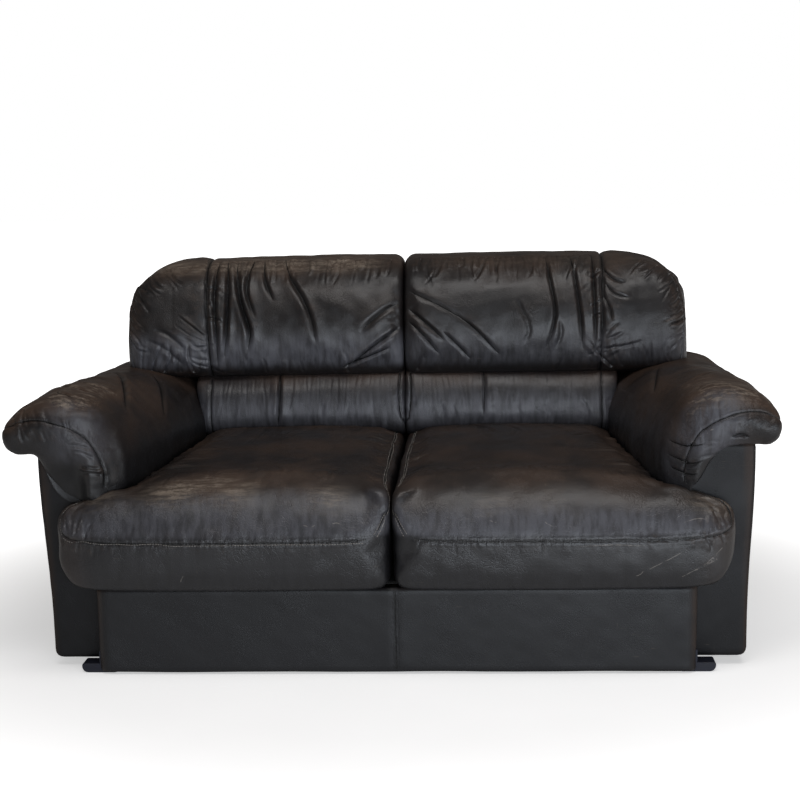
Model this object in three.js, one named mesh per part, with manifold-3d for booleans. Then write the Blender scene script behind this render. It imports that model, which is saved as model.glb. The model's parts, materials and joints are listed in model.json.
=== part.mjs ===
// A two-seat leather sofa: timber frame, zigzag springs, elastic back straps, loose-looking
// stuffed cushions and leather-covered panels. Millimetres, +Z up. The sofa faces -Y, its origin is
// on the floor under the middle of its bounding box, and "left" is -X, as seen by someone facing it.
import * as THREE from "three";
import { mergeVertices } from "three/addons/utils/BufferGeometryUtils.js";
import Module from "manifold-3d";

const wasm = await Module();
wasm.setup();

// ---- driving dimensions -------------------------------------------------------------------------
const SOFA_HALF_DEPTH = 460;
const BODY_HALF_WIDTH = 775; // over the outer arm panels
const LIP_HALF_WIDTH = 850; // over the rolled lips of the arm pads
const APRON_HALF_WIDTH = 661;
const SEAT_HALF_WIDTH = 738; // over the ears of the seat cushions
const HEADREST_HALF_WIDTH = 714;
const SEAT_INNER_HALF_WIDTH = 528; // seat cushions between the arm pads
const HEADREST_TOP = 876;
const SEAT_TOP = 420;
const UNDER_HEADREST = 606; // top of what the headrests bear on
const DECK_TOP = 197; // cloth that the seat cushions lie on
const ARM_BOARD_TOP = 489;
const FLOOR_CLEARANCE = 20; // under the outer panels
const GAP = 0.4; // between pieces that touch

const FOOT_HEIGHT = 50;
const RAIL_BOTTOM = FOOT_HEIGHT + GAP;
const RAIL_TOP = 188;
const PANEL = 12; // leather-covered board
const THICK_TIMBER = 38;
const THIN_TIMBER = 22;

const APRON_FRONT_Y = -420;
const ARM_FRONT_Y = -361; // front face of the arm's front panel
const ARM_INSIDE_Y = ARM_FRONT_Y + PANEL + GAP;
const REAR_PANEL_Y = 425;
const PAD_REAR_Y = 333; // flat rear faces of the back pads
const BACK_LEAN = THREE.MathUtils.degToRad(2.5);

// ---- materials ----------------------------------------------------------------------------------
const leather = new THREE.MeshStandardMaterial({ color: 0x2b2827, roughness: 0.45, metalness: 0 });
const wornLeather = new THREE.MeshStandardMaterial({ color: 0x3a322d, roughness: 0.5, metalness: 0 });
const timber = new THREE.MeshStandardMaterial({ color: 0xb48a5a, roughness: 0.8, metalness: 0 });
const fibreboard = new THREE.MeshStandardMaterial({ color: 0x6e5138, roughness: 0.9, metalness: 0 });
const springSteel = new THREE.MeshStandardMaterial({ color: 0x5b5d60, roughness: 0.4, metalness: 1 });
const webbing = new THREE.MeshStandardMaterial({ color: 0x8b8478, roughness: 0.95, metalness: 0 });
const navyCloth = new THREE.MeshStandardMaterial({ color: 0x1d2233, roughness: 0.95, metalness: 0 });
const navyPlastic = new THREE.MeshStandardMaterial({ color: 0x20263a, roughness: 0.5, metalness: 0 });

// ---- helpers ------------------------------------------------------------------------------------
const sofa = new THREE.Group();

// Where a flat outline drawn in x and y goes, and which way it is extruded.
const SIDEWAYS = new THREE.Matrix4().makeBasis(
  new THREE.Vector3(0, 1, 0),
  new THREE.Vector3(0, 0, 1),
  new THREE.Vector3(1, 0, 0),
); // outline in Y and Z, extruded along +X
const FORWARDS = new THREE.Matrix4().makeBasis(
  new THREE.Vector3(1, 0, 0),
  new THREE.Vector3(0, 0, 1),
  new THREE.Vector3(0, -1, 0),
); // outline in X and Z, extruded along -Y

function addMesh(parent, name, geometry, material) {
  const mesh = new THREE.Mesh(geometry, material);
  mesh.name = name;
  parent.add(mesh);
  return mesh;
}

// A board, post or sheet given by its lowest and highest corner.
function addBlock(parent, name, low, high, material) {
  const size = high.map((value, axis) => value - low[axis]);
  const mesh = addMesh(parent, name, new THREE.BoxGeometry(...size), material);
  mesh.position.set(...low.map((value, axis) => value + size[axis] / 2));
  return mesh;
}

// Adds the same piece on both sides: build(name) returns the left one, and the right one mirrors it.
function addPair(baseName, buildLeft) {
  for (const side of ["left", "right"]) {
    const group = new THREE.Group();
    if (side === "right") group.scale.x = -1;
    sofa.add(group);
    buildLeft(group, `${side}_${baseName}`);
  }
}

// A closed outline through points, each with the radius that rounds it (0 leaves it sharp).
function roundedOutline(corners, curvePoints = 5) {
  const shape = new THREE.Shape();
  const count = corners.length;
  corners.forEach(([x, y, radius], index) => {
    const [px, py] = corners[(index + count - 1) % count];
    const [nx, ny] = corners[(index + 1) % count];
    const toPrevious = new THREE.Vector2(px - x, py - y).normalize();
    const toNext = new THREE.Vector2(nx - x, ny - y).normalize();
    const half = Math.acos(THREE.MathUtils.clamp(toPrevious.dot(toNext), -1, 1)) / 2;
    const reach = radius / Math.tan(half);
    const corner = new THREE.Vector2(x, y);
    const start = corner.clone().addScaledVector(toPrevious, reach);
    const end = corner.clone().addScaledVector(toNext, reach);
    if (index === 0) shape.moveTo(start.x, start.y);
    else shape.lineTo(start.x, start.y);
    if (radius === 0) return;
    // The arc's points lie on a circle that touches both sides.
    const middle = toPrevious.clone().add(toNext).normalize();
    const centre = corner.clone().addScaledVector(middle, radius / Math.sin(half));
    const from = start.clone().sub(centre).angle();
    let turn = end.clone().sub(centre).angle() - from;
    turn = Math.atan2(Math.sin(turn), Math.cos(turn));
    for (let step = 1; step <= curvePoints; step++) {
      const angle = from + (turn * step) / curvePoints;
      shape.lineTo(centre.x + radius * Math.cos(angle), centre.y + radius * Math.sin(angle));
    }
  });
  return shape;
}

// An extruded outline whose two ends are rounded off over `round`, without growing past the outline.
function rounded(shape, length, round, segments = 3) {
  const geometry = new THREE.ExtrudeGeometry(shape, {
    depth: length - 2 * round,
    bevelEnabled: round > 0,
    bevelThickness: round,
    bevelSize: round,
    bevelOffset: -round,
    bevelSegments: segments,
    steps: 1,
    curveSegments: 6,
  });
  return geometry.translate(0, 0, round);
}

function toSolid(geometry) {
  const bare = geometry.clone();
  bare.deleteAttribute("normal");
  bare.deleteAttribute("uv");
  const merged = mergeVertices(bare, 1e-3);
  return new wasm.Manifold(
    new wasm.Mesh({
      numProp: 3,
      vertProperties: new Float32Array(merged.attributes.position.array),
      triVerts: new Uint32Array(merged.index.array),
    }),
  );
}

function toGeometry(solid) {
  const mesh = solid.getMesh();
  const geometry = new THREE.BufferGeometry();
  geometry.setAttribute("position", new THREE.BufferAttribute(mesh.vertProperties, 3));
  geometry.setIndex(new THREE.BufferAttribute(mesh.triVerts, 1));
  return geometry;
}

// ---- feet ---------------------------------------------------------------------------------------
const FOOT_DEPTH = 41;
const FRONT_FOOT_X = 652;
const FRONT_FOOT_Y = -364; // rear face of the front feet
const REAR_FOOT_X = 700;
const REAR_FOOT_Y = 413; // rear face of the rear feet

// The feet are moulded blocks with rounded corners. The front ones end in a low toe that shows
// beside the apron.
function addFeet() {
  const half = 50;
  const cornerRadius = 28;
  const toeHeight = 21;
  const toeRoot = -10;
  const innerCorners = [
    [half, 0, cornerRadius],
    [half, FOOT_HEIGHT, 2],
  ];
  const frontOutline = [
    [-half, 0, 14],
    ...innerCorners,
    [toeRoot, FOOT_HEIGHT, 2],
    [toeRoot, toeHeight, 0],
    [-half, toeHeight, 5],
  ];
  const rearOutline = [[-half, 0, cornerRadius], ...innerCorners, [-half, FOOT_HEIGHT, 2]];
  for (const [end, outline, x, y] of [
    ["front_foot", frontOutline, -FRONT_FOOT_X, FRONT_FOOT_Y],
    ["rear_foot", rearOutline, -REAR_FOOT_X, REAR_FOOT_Y],
  ]) {
    addPair(end, (parent, name) => {
      const foot = rounded(roundedOutline(outline, 7), FOOT_DEPTH, 1.5, 1).applyMatrix4(FORWARDS);
      addMesh(parent, name, foot.translate(x, y, 0), navyPlastic);
    });
  }
}

// ---- seat base ----------------------------------------------------------------------------------
const FRONT_RAIL_REAR_Y = ARM_FRONT_Y - GAP - 4;
const FRONT_RAIL_FRONT_Y = FRONT_RAIL_REAR_Y - THICK_TIMBER;
const REAR_RAIL_Y = 396;
const SEAT_REAR_RAIL_Y = 300;
const SIDE_RAIL_OUTER_X = -563;
const ARM_INNER_PANEL = 10;
const ARM_INNER_PANEL_X = -633;

function addBaseFrame() {
  const frontHalf = 640;
  const bodyInside = BODY_HALF_WIDTH - PANEL - GAP;
  const sideRailBottom = 100;
  const centreRailBottom = 70;
  const centreRailTop = 170;
  const sideRailInner = SIDE_RAIL_OUTER_X + THIN_TIMBER;
  addBlock(
    sofa, "base_front_rail",
    [-frontHalf, FRONT_RAIL_FRONT_Y, RAIL_BOTTOM],
    [frontHalf, FRONT_RAIL_REAR_Y, RAIL_TOP],
    timber,
  );
  addBlock(
    sofa, "base_rear_rail",
    [-bodyInside, REAR_RAIL_Y, RAIL_BOTTOM],
    [bodyInside, REAR_RAIL_Y + THIN_TIMBER, RAIL_TOP],
    timber,
  );
  addBlock(
    sofa, "seat_rear_rail",
    [sideRailInner + GAP, SEAT_REAR_RAIL_Y, sideRailBottom],
    [-sideRailInner - GAP, SEAT_REAR_RAIL_Y + THIN_TIMBER, RAIL_TOP],
    timber,
  );
  addBlock(
    sofa, "base_centre_rail",
    [-THIN_TIMBER / 2, ARM_INSIDE_Y, centreRailBottom],
    [THIN_TIMBER / 2, SEAT_REAR_RAIL_Y - GAP, centreRailTop],
    timber,
  );
  addPair("seat_side_rail", (parent, name) =>
    addBlock(
      parent, name,
      [SIDE_RAIL_OUTER_X, ARM_INSIDE_Y, sideRailBottom],
      [sideRailInner, REAR_RAIL_Y - GAP, RAIL_TOP],
      timber,
    ),
  );
}

// ---- seat springs -------------------------------------------------------------------------------
// A zigzag spring runs from the front rail to the rear seat rail and bows up a little.
function zigzagCurve(length, loopHalfWidth, halfWaves, rise) {
  const points = [];
  const stepsPerHalfWave = 4;
  const steps = halfWaves * stepsPerHalfWave;
  for (let step = 0; step <= steps; step++) {
    const along = step / steps;
    const phase = (Math.PI * step) / stepsPerHalfWave;
    // Flattened peaks make the straight bars and round bends of a real zigzag spring.
    const swing = Math.tanh(2.2 * Math.sin(phase)) / Math.tanh(2.2);
    points.push(
      new THREE.Vector3(loopHalfWidth * swing, along * length, rise * Math.sin(Math.PI * along)),
    );
  }
  return new THREE.CatmullRomCurve3(points, false, "centripetal");
}

function addSeatSprings() {
  const wireRadius = 1.9;
  const springsPerSeat = 4;
  const halfWaves = 13;
  const loopHalfWidth = 26;
  const rise = 2;
  const startY = FRONT_RAIL_REAR_Y - 12;
  const endY = SEAT_REAR_RAIL_Y + 12;
  const height = RAIL_TOP + wireRadius + GAP;
  const spacing = (SEAT_INNER_HALF_WIDTH - 20) / springsPerSeat;
  const wire = new THREE.Shape();
  for (let side = 0; side < 6; side++) {
    const angle = (side * Math.PI) / 3;
    const point = [wireRadius * Math.cos(angle), wireRadius * Math.sin(angle)];
    if (side === 0) wire.moveTo(...point);
    else wire.lineTo(...point);
  }
  wire.closePath();
  const curve = zigzagCurve(endY - startY, loopHalfWidth, halfWaves, rise);
  for (let index = 0; index < 2 * springsPerSeat; index++) {
    const x = (index - springsPerSeat + 0.5) * spacing;
    const geometry = new THREE.ExtrudeGeometry(wire, {
      steps: halfWaves * 4,
      extrudePath: curve,
      bevelEnabled: false,
    });
    const spring = addMesh(sofa, `seat_spring_${index + 1}`, geometry, springSteel);
    spring.position.set(x, startY, height);
  }
  addBlock(
    sofa, "seat_deck_cloth",
    [-SEAT_INNER_HALF_WIDTH, FRONT_RAIL_REAR_Y - 20, DECK_TOP - 1.5],
    [SEAT_INNER_HALF_WIDTH, SEAT_REAR_RAIL_Y + 20, DECK_TOP],
    webbing,
  );
}

// ---- arm frames and panels ----------------------------------------------------------------------
function addArms() {
  const outerFace = -BODY_HALF_WIDTH;
  const insideFace = outerFace + PANEL + GAP;
  const railInner = insideFace + THICK_TIMBER;
  const railTop = 150;
  const postDepth = 45;
  const boardThickness = 18;
  const boardBottom = ARM_BOARD_TOP - boardThickness;
  const armRearY = REAR_PANEL_Y - GAP;
  const frontPanelInner = -607;
  const innerPanelInner = ARM_INNER_PANEL_X + ARM_INNER_PANEL;
  const innerPanelBottom = 100;
  const panelRadius = 10;

  addPair("arm_base_rail", (parent, name) =>
    addBlock(
      parent, name,
      [insideFace, ARM_INSIDE_Y, RAIL_BOTTOM],
      [railInner, REAR_RAIL_Y - GAP, railTop],
      timber,
    ),
  );
  addPair("arm_front_post", (parent, name) =>
    addBlock(
      parent, name,
      [insideFace, ARM_INSIDE_Y, railTop + GAP],
      [railInner, ARM_INSIDE_Y + postDepth, boardBottom - GAP],
      timber,
    ),
  );
  addPair("arm_rear_post", (parent, name) =>
    addBlock(
      parent, name,
      [insideFace, REAR_RAIL_Y - GAP - postDepth, railTop + GAP],
      [railInner, REAR_RAIL_Y - GAP, boardBottom - GAP],
      timber,
    ),
  );
  addPair("arm_top_board", (parent, name) =>
    addBlock(
      parent, name,
      [insideFace, ARM_INSIDE_Y, boardBottom],
      [innerPanelInner, armRearY, ARM_BOARD_TOP],
      timber,
    ),
  );
  addPair("arm_inner_panel", (parent, name) =>
    addBlock(
      parent, name,
      [ARM_INNER_PANEL_X, ARM_INSIDE_Y, innerPanelBottom],
      [innerPanelInner, PAD_REAR_Y, boardBottom - GAP],
      fibreboard,
    ),
  );
  addPair("arm_side_panel", (parent, name) => {
    const outline = roundedOutline([
      [ARM_INSIDE_Y, FLOOR_CLEARANCE, panelRadius],
      [armRearY, FLOOR_CLEARANCE, panelRadius],
      [armRearY, ARM_BOARD_TOP, 0],
      [ARM_INSIDE_Y, ARM_BOARD_TOP, 0],
    ]);
    const panel = rounded(outline, PANEL, 2, 1).applyMatrix4(SIDEWAYS);
    addMesh(parent, name, panel.translate(outerFace, 0, 0), leather);
  });
  addPair("arm_front_panel", (parent, name) => {
    const outline = roundedOutline([
      [outerFace, FLOOR_CLEARANCE, 20],
      [frontPanelInner, FLOOR_CLEARANCE, 4],
      [frontPanelInner, ARM_BOARD_TOP, 0],
      [outerFace, ARM_BOARD_TOP, 4],
    ]);
    const panel = rounded(outline, PANEL, 2, 1).applyMatrix4(FORWARDS);
    addMesh(parent, name, panel.translate(0, ARM_FRONT_Y + PANEL, 0), leather);
  });
}

// ---- front apron, rear panel, dust cover ----------------------------------------------------------
// The apron is a padded cover that turns back round both ends of the front rail.
function addBodyPanels() {
  const apronBottom = 4;
  const apronTop = DECK_TOP - 1;
  const apronThickness = 14;
  const apronRear = ARM_FRONT_Y - GAP - 1;
  const cornerRadius = 24;
  const innerX = APRON_HALF_WIDTH - apronThickness;
  const innerY = APRON_FRONT_Y + apronThickness;
  const apronOutline = roundedOutline([
    [-APRON_HALF_WIDTH, apronRear, 0],
    [-APRON_HALF_WIDTH, APRON_FRONT_Y, cornerRadius],
    [APRON_HALF_WIDTH, APRON_FRONT_Y, cornerRadius],
    [APRON_HALF_WIDTH, apronRear, 0],
    [innerX, apronRear, 0],
    [innerX, innerY, cornerRadius - apronThickness],
    [-innerX, innerY, cornerRadius - apronThickness],
    [-innerX, apronRear, 0],
  ]);
  // The feet stand inside the apron, so it is cut away over them.
  const apron = toSolid(rounded(apronOutline, apronTop - apronBottom, 0).translate(0, 0, apronBottom));
  const footNotch = (x) =>
    toSolid(new THREE.BoxGeometry(110, 60, 110).translate(x, (apronRear + innerY) / 2 + 8, 0));
  addMesh(
    sofa, "front_apron",
    toGeometry(apron.subtract(footNotch(-FRONT_FOOT_X)).subtract(footNotch(FRONT_FOOT_X))),
    leather,
  );

  const rearHalf = BODY_HALF_WIDTH;
  const upperHalf = HEADREST_HALF_WIDTH - 16;
  const rearTop = 750;
  const rearOutline = roundedOutline([
    [-rearHalf, FLOOR_CLEARANCE, 12],
    [rearHalf, FLOOR_CLEARANCE, 12],
    [rearHalf, ARM_BOARD_TOP, 0],
    [upperHalf, ARM_BOARD_TOP + 60, 30],
    [upperHalf, rearTop, 20],
    [-upperHalf, rearTop, 20],
    [-upperHalf, ARM_BOARD_TOP + 60, 30],
    [-rearHalf, ARM_BOARD_TOP, 0],
  ]);
  const rear = rounded(rearOutline, PANEL, 2, 1).applyMatrix4(FORWARDS);
  addMesh(sofa, "rear_panel", rear.translate(0, REAR_PANEL_Y + PANEL, 0), leather);

  // A leather-covered board closes each side of the back between the arm pad and the headrest.
  const sideThickness = 8;
  addPair("back_side_panel", (parent, name) =>
    addBlock(
      parent, name,
      [-upperHalf, PAD_REAR_Y + 4, UNDER_HEADREST + 1],
      [-upperHalf + sideThickness, REAR_PANEL_Y - GAP, rearTop - 2],
      leather,
    ),
  );

  const rearFootFrontY = REAR_FOOT_Y - FOOT_DEPTH;
  addBlock(
    sofa, "dust_cover",
    [-BODY_HALF_WIDTH + PANEL + 4, ARM_INSIDE_Y + 2, FOOT_HEIGHT - 1.5],
    [BODY_HALF_WIDTH - PANEL - 4, rearFootFrontY - 2, FOOT_HEIGHT],
    navyCloth,
  );
}

// ---- back frame ---------------------------------------------------------------------------------
// Everything in this group leans back a little, about the foot of the uprights.
function addBackFrame() {
  const back = new THREE.Group();
  const uprightBottom = 62;
  const uprightTop = 700;
  const uprightFront = 350;
  const uprightRear = uprightFront + THICK_TIMBER - 3;
  const uprightWidth = 45;
  const outerUprightX = 506;
  const topRailHalf = 680;
  const topRailHeight = 45;
  const strapThickness = 1.5;
  const strapWidth = 60;
  const strapHeights = [300, 390, 480, 640];
  const lumbarRail = [545, 590];
  back.position.set(0, uprightFront, uprightBottom);
  back.rotation.x = -BACK_LEAN;
  sofa.add(back);
  // Inside the leaning group, y is measured from the uprights' front and z from their foot.
  const place = (name, low, high, material) =>
    addBlock(
      back, name,
      [low[0], low[1] - uprightFront, low[2] - uprightBottom],
      [high[0], high[1] - uprightFront, high[2] - uprightBottom],
      material,
    );
  const uprights = [
    ["back_left_upright", -outerUprightX],
    ["back_centre_upright", 0],
    ["back_right_upright", outerUprightX],
  ];
  for (const [name, x] of uprights)
    place(
      name,
      [x - uprightWidth / 2, uprightFront, uprightBottom],
      [x + uprightWidth / 2, uprightRear, uprightTop],
      timber,
    );
  place(
    "back_top_rail",
    [-topRailHalf, uprightFront, uprightTop + GAP],
    [topRailHalf, uprightRear, uprightTop + topRailHeight],
    timber,
  );
  // Each lumbar rail runs from the centre upright to an outer one.
  for (const [name, sign] of [["back_left_lumbar_rail", -1], ["back_right_lumbar_rail", 1]]) {
    const ends = [uprightWidth / 2 + GAP, outerUprightX - uprightWidth / 2 - GAP];
    const xs = ends.map((end) => end * sign).sort((a, b) => a - b);
    place(name, [xs[0], uprightFront + 2, lumbarRail[0]], [xs[1], uprightRear - 6, lumbarRail[1]], timber);
  }
  strapHeights.forEach((height, index) =>
    place(
      `back_strap_${index + 1}`,
      [-outerUprightX, uprightFront - GAP - strapThickness, height],
      [outerUprightX, uprightFront - GAP, height + strapWidth],
      webbing,
    ),
  );
}

// ---- cushions -----------------------------------------------------------------------------------
// Between the arms the seat widens towards the front, because the arm pads are fuller at the rear.
const SEAT_FRONT_HALF_WIDTH = 597;
const SEAT_TAPER_START_Y = 60;
const ARM_PAD_INNER = -SEAT_INNER_HALF_WIDTH - 6;
const ARM_PAD_FRONT_INNER = -SEAT_FRONT_HALF_WIDTH - 7;

// A seat cushion is T-shaped in plan: a deep middle between the arms, and a nose whose ear reaches
// out in front of the arm. The nose is lower than the seat's crown.
function seatCushionSolid() {
  const bottom = DECK_TOP + GAP * 4;
  const middleX = -3;
  const rearY = PAD_REAR_Y - 6;
  const earRearY = ARM_FRONT_Y - 8;
  const noseFrontY = -SOFA_HALF_DEPTH;
  const earTop = 392;
  const crownFrontY = -432;
  const frontX = -SEAT_FRONT_HALF_WIDTH;
  const rearX = -SEAT_INNER_HALF_WIDTH;
  const tee = roundedOutline([
    [middleX, noseFrontY, 34],
    [middleX, rearY, 34],
    [rearX, rearY, 34],
    [rearX, SEAT_TAPER_START_Y, 60],
    [frontX, ARM_FRONT_Y + 16, 24],
    [frontX - 10, earRearY, 4],
    [-SEAT_HALF_WIDTH, earRearY, 34],
    [-SEAT_HALF_WIDTH, noseFrontY, 44],
  ]);
  const crown = roundedOutline([
    [middleX, crownFrontY, 40],
    [middleX, rearY, 34],
    [rearX, rearY, 34],
    [rearX, SEAT_TAPER_START_Y, 60],
    [frontX, ARM_FRONT_Y + 16, 40],
    [frontX, crownFrontY, 40],
  ]);
  const teeSolid = toSolid(rounded(tee, earTop - bottom, 26).translate(0, 0, bottom));
  const crownSolid = toSolid(rounded(crown, SEAT_TOP - 300, 26).translate(0, 0, 300));
  return teeSolid.add(crownSolid);
}

// The arm pad is a thick pillow over the arm board. Its inner side falls to the seat, its outer
// side rolls over the side panel as a lip, and its front hangs over the arm's front panel.
function armPadSolid() {
  const padFrontY = -402;
  const padRearY = REAR_PANEL_Y - GAP;
  const underside = ARM_BOARD_TOP + GAP * 2;
  const skirtOuterX = ARM_INNER_PANEL_X + ARM_INNER_PANEL + 1;
  const skirtBottom = 300;
  const section = roundedOutline([
    [ARM_PAD_INNER, skirtBottom, 8],
    [ARM_PAD_INNER, 600, 58],
    [-640, 622, 60],
    [-790, 608, 60],
    [-LIP_HALF_WIDTH, 572, 30],
    [-LIP_HALF_WIDTH, 512, 20],
    [-826, 494, 16],
    [-BODY_HALF_WIDTH - 2, 500, 8],
    [-BODY_HALF_WIDTH + 8, underside, 4],
    [skirtOuterX, underside, 0],
    [skirtOuterX, skirtBottom, 6],
  ]);
  const body = rounded(section, padRearY - padFrontY, 3, 1).applyMatrix4(FORWARDS);
  const solid = toSolid(body.translate(0, padRearY, 0));
  // The headrest bears on the rear of the pad and presses its crest down.
  const headrestRoom = new THREE.BoxGeometry(260, 300, 100);
  headrestRoom.translate(-620, 345, UNDER_HEADREST + 50);
  // The inner side slants outwards to the front, along the seat cushion.
  const seatSide = new THREE.Shape();
  seatSide.moveTo(ARM_PAD_INNER, SEAT_TAPER_START_Y);
  seatSide.lineTo(ARM_PAD_FRONT_INNER, ARM_FRONT_Y + 16);
  seatSide.lineTo(ARM_PAD_FRONT_INNER, padFrontY - 20);
  seatSide.lineTo(ARM_PAD_INNER + 40, padFrontY - 20);
  seatSide.lineTo(ARM_PAD_INNER + 40, SEAT_TAPER_START_Y);
  seatSide.closePath();
  const slant = toSolid(rounded(seatSide, 500, 0).translate(0, 0, 200));
  // The skirt stops behind the arm's front panel.
  const skirtFrontY = ARM_INSIDE_Y + 1;
  const frontRoom = new THREE.BoxGeometry(120, 200, 400);
  frontRoom.translate(-580, skirtFrontY - 100, underside - 200);
  const frontDrop = roundedOutline([
    [-626, 408, 8],
    [-606, 424, 8],
    [-606, 560, 20],
    [-770, 560, 20],
    [-770, 503, 16],
    [-704, 488, 20],
    [-664, 446, 20],
  ]);
  const dropRearY = ARM_FRONT_Y - 2;
  const drop = rounded(frontDrop, dropRearY - padFrontY, 4, 2).applyMatrix4(FORWARDS);
  return solid
    .subtract(toSolid(headrestRoom))
    .subtract(slant)
    .subtract(toSolid(frontRoom))
    .add(toSolid(drop.translate(0, dropRearY, 0)));
}

// The lumbar pad is a roll between the seat and the headrest.
function lumbarPadGeometry() {
  const outerX = -505;
  const innerX = -3;
  const profile = roundedOutline([
    [206, SEAT_TOP + 8, 40],
    [PAD_REAR_Y, SEAT_TOP + 8, 20],
    [PAD_REAR_Y, UNDER_HEADREST - 2, 20],
    [196, UNDER_HEADREST - 2, 46],
    [186, 500, 60],
  ]);
  const pad = rounded(profile, innerX - outerX, 18).applyMatrix4(SIDEWAYS);
  return pad.translate(outerX, 0, 0);
}

// The headrest is a stuffed pad that rolls over the top rail of the back frame.
function headrestSolid() {
  const innerX = -3;
  const bottomFront = UNDER_HEADREST + 2;
  const railClearance = 752;
  const profile = roundedOutline([
    [214, bottomFront, 36],
    [PAD_REAR_Y, bottomFront, 24],
    [PAD_REAR_Y, railClearance, 0],
    [SOFA_HALF_DEPTH, railClearance, 24],
    [SOFA_HALF_DEPTH, HEADREST_TOP, 70],
    [270, HEADREST_TOP, 76],
    [200, 740, 110],
  ]);
  const pad = rounded(profile, HEADREST_HALF_WIDTH + innerX, 22).applyMatrix4(SIDEWAYS);
  const solid = toSolid(pad.translate(-HEADREST_HALF_WIDTH, 0, 0));
  // The outer top corner is rounded in front view.
  const frame = new THREE.Shape();
  const outerX = -HEADREST_HALF_WIDTH - 5;
  const cornerWidth = 110;
  const cornerHeight = 104;
  const cornerZ = HEADREST_TOP - cornerHeight;
  frame.moveTo(outerX, UNDER_HEADREST - 5);
  frame.lineTo(outerX, cornerZ);
  frame.absellipse(
    outerX + cornerWidth, cornerZ, cornerWidth, cornerHeight, Math.PI, Math.PI / 2, true,
  );
  frame.lineTo(5, HEADREST_TOP);
  frame.lineTo(5, UNDER_HEADREST - 5);
  frame.closePath();
  const cutter = rounded(frame, 400, 0).applyMatrix4(FORWARDS).translate(0, 500, 0);
  return solid.intersect(toSolid(cutter));
}

function addCushions() {
  const cushions = [
    ["seat_cushion", toGeometry(seatCushionSolid())],
    ["arm_pad", toGeometry(armPadSolid())],
    ["lumbar_pad", lumbarPadGeometry()],
    ["headrest", toGeometry(headrestSolid())],
  ];
  for (const [baseName, geometry] of cushions)
    addPair(baseName, (parent, name) => addMesh(parent, name, geometry, wornLeather));
}

addFeet();
addBaseFrame();
addSeatSprings();
addArms();
addBodyPanels();
addBackFrame();
addCushions();

export default sofa;
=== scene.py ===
"""Looks of a worn two-seat leather sofa, in metres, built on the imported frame.

The sofa faces -Y, +Z is up, and +X is the right arm as seen by someone facing it. Shapes that
exist on both sides are described once, in terms of u, the distance outwards from the middle.
"""

import json
import logging
import math
from dataclasses import dataclass
from enum import Enum
from functools import reduce
from typing import Callable, Iterable, Sequence

import bpy
import numpy as np
from mathutils import Matrix, Vector


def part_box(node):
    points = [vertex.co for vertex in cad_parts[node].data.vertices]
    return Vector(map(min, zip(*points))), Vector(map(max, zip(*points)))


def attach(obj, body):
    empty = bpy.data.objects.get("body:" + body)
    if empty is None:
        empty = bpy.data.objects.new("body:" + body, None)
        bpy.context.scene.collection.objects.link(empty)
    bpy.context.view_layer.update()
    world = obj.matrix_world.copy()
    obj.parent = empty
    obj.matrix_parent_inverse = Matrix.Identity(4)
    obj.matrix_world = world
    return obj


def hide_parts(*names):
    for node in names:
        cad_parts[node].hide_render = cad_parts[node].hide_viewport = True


LOG = logging.getLogger("sofa")
LINE_STEP = 0.004  # between the points of a line laid on a skin, in metres
FULL_RELIEF = 0.004  # height that the finish reads as a relief of 1
SLACK = 0.006  # furthest that a leather skin settles
THREAD_LIFT = 0.0008  # of topstitching over its leather
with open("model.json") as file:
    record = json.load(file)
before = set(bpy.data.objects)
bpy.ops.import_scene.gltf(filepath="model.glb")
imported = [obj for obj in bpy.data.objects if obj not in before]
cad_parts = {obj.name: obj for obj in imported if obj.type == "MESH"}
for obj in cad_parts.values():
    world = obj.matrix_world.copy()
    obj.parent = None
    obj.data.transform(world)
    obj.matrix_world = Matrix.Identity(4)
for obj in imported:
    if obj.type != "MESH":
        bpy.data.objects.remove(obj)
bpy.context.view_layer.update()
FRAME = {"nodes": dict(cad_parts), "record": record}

Array = np.ndarray
Material = bpy.types.Material
Object = bpy.types.Object
Socket = bpy.types.NodeSocket
Tree = bpy.types.NodeTree
Point2 = tuple[float, float]
Point3 = tuple[float, float, float]
Colour = tuple[float, float, float, float]
Solid = tuple[Array, list[list[int]]]


class Side(Enum):
    """Which half of the sofa a piece is on."""

    LEFT = -1
    RIGHT = 1

    def named(self, base: str) -> str:
        """The piece's name on this side."""
        return f"{self.name.lower()}_{base}"


class Stack(Enum):
    """The direction in which an outline is stacked into a solid."""

    ALONG_X = "x"
    ALONG_Y = "y"
    ALONG_Z = "z"

    def place(self, outline: Array, height: Array) -> Array:
        """Puts outline points and their heights into space.

        Args:
            outline: Points of the outline, (n, 2): Y and Z, X and Z, or X and Y.
            height: How far along the stacking direction each point is.

        Returns:
            The points, (n, 3).
        """
        first, second = outline.T
        if self is Stack.ALONG_X:
            return np.column_stack([height, first, second])
        if self is Stack.ALONG_Y:
            return np.column_stack([first, height, second])
        return np.column_stack([first, second, height])


class Facing(Enum):
    """From where a line drawn on a flat view is laid on a skin."""

    FRONT = (0.0, 1.0, 0.0)
    TOP = (0.0, 0.0, -1.0)

    def lift(self, point: Point2) -> tuple[Vector, Vector]:
        """The start and direction of the ray that lays a flat point on a skin."""
        direction = Vector(self.value)
        if self is Facing.FRONT:
            return Vector((point[0], -2.0, point[1])), direction
        return Vector((point[0], point[1], 2.0)), direction


# ---- curves and solids ---------------------------------------------------------------------------


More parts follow.
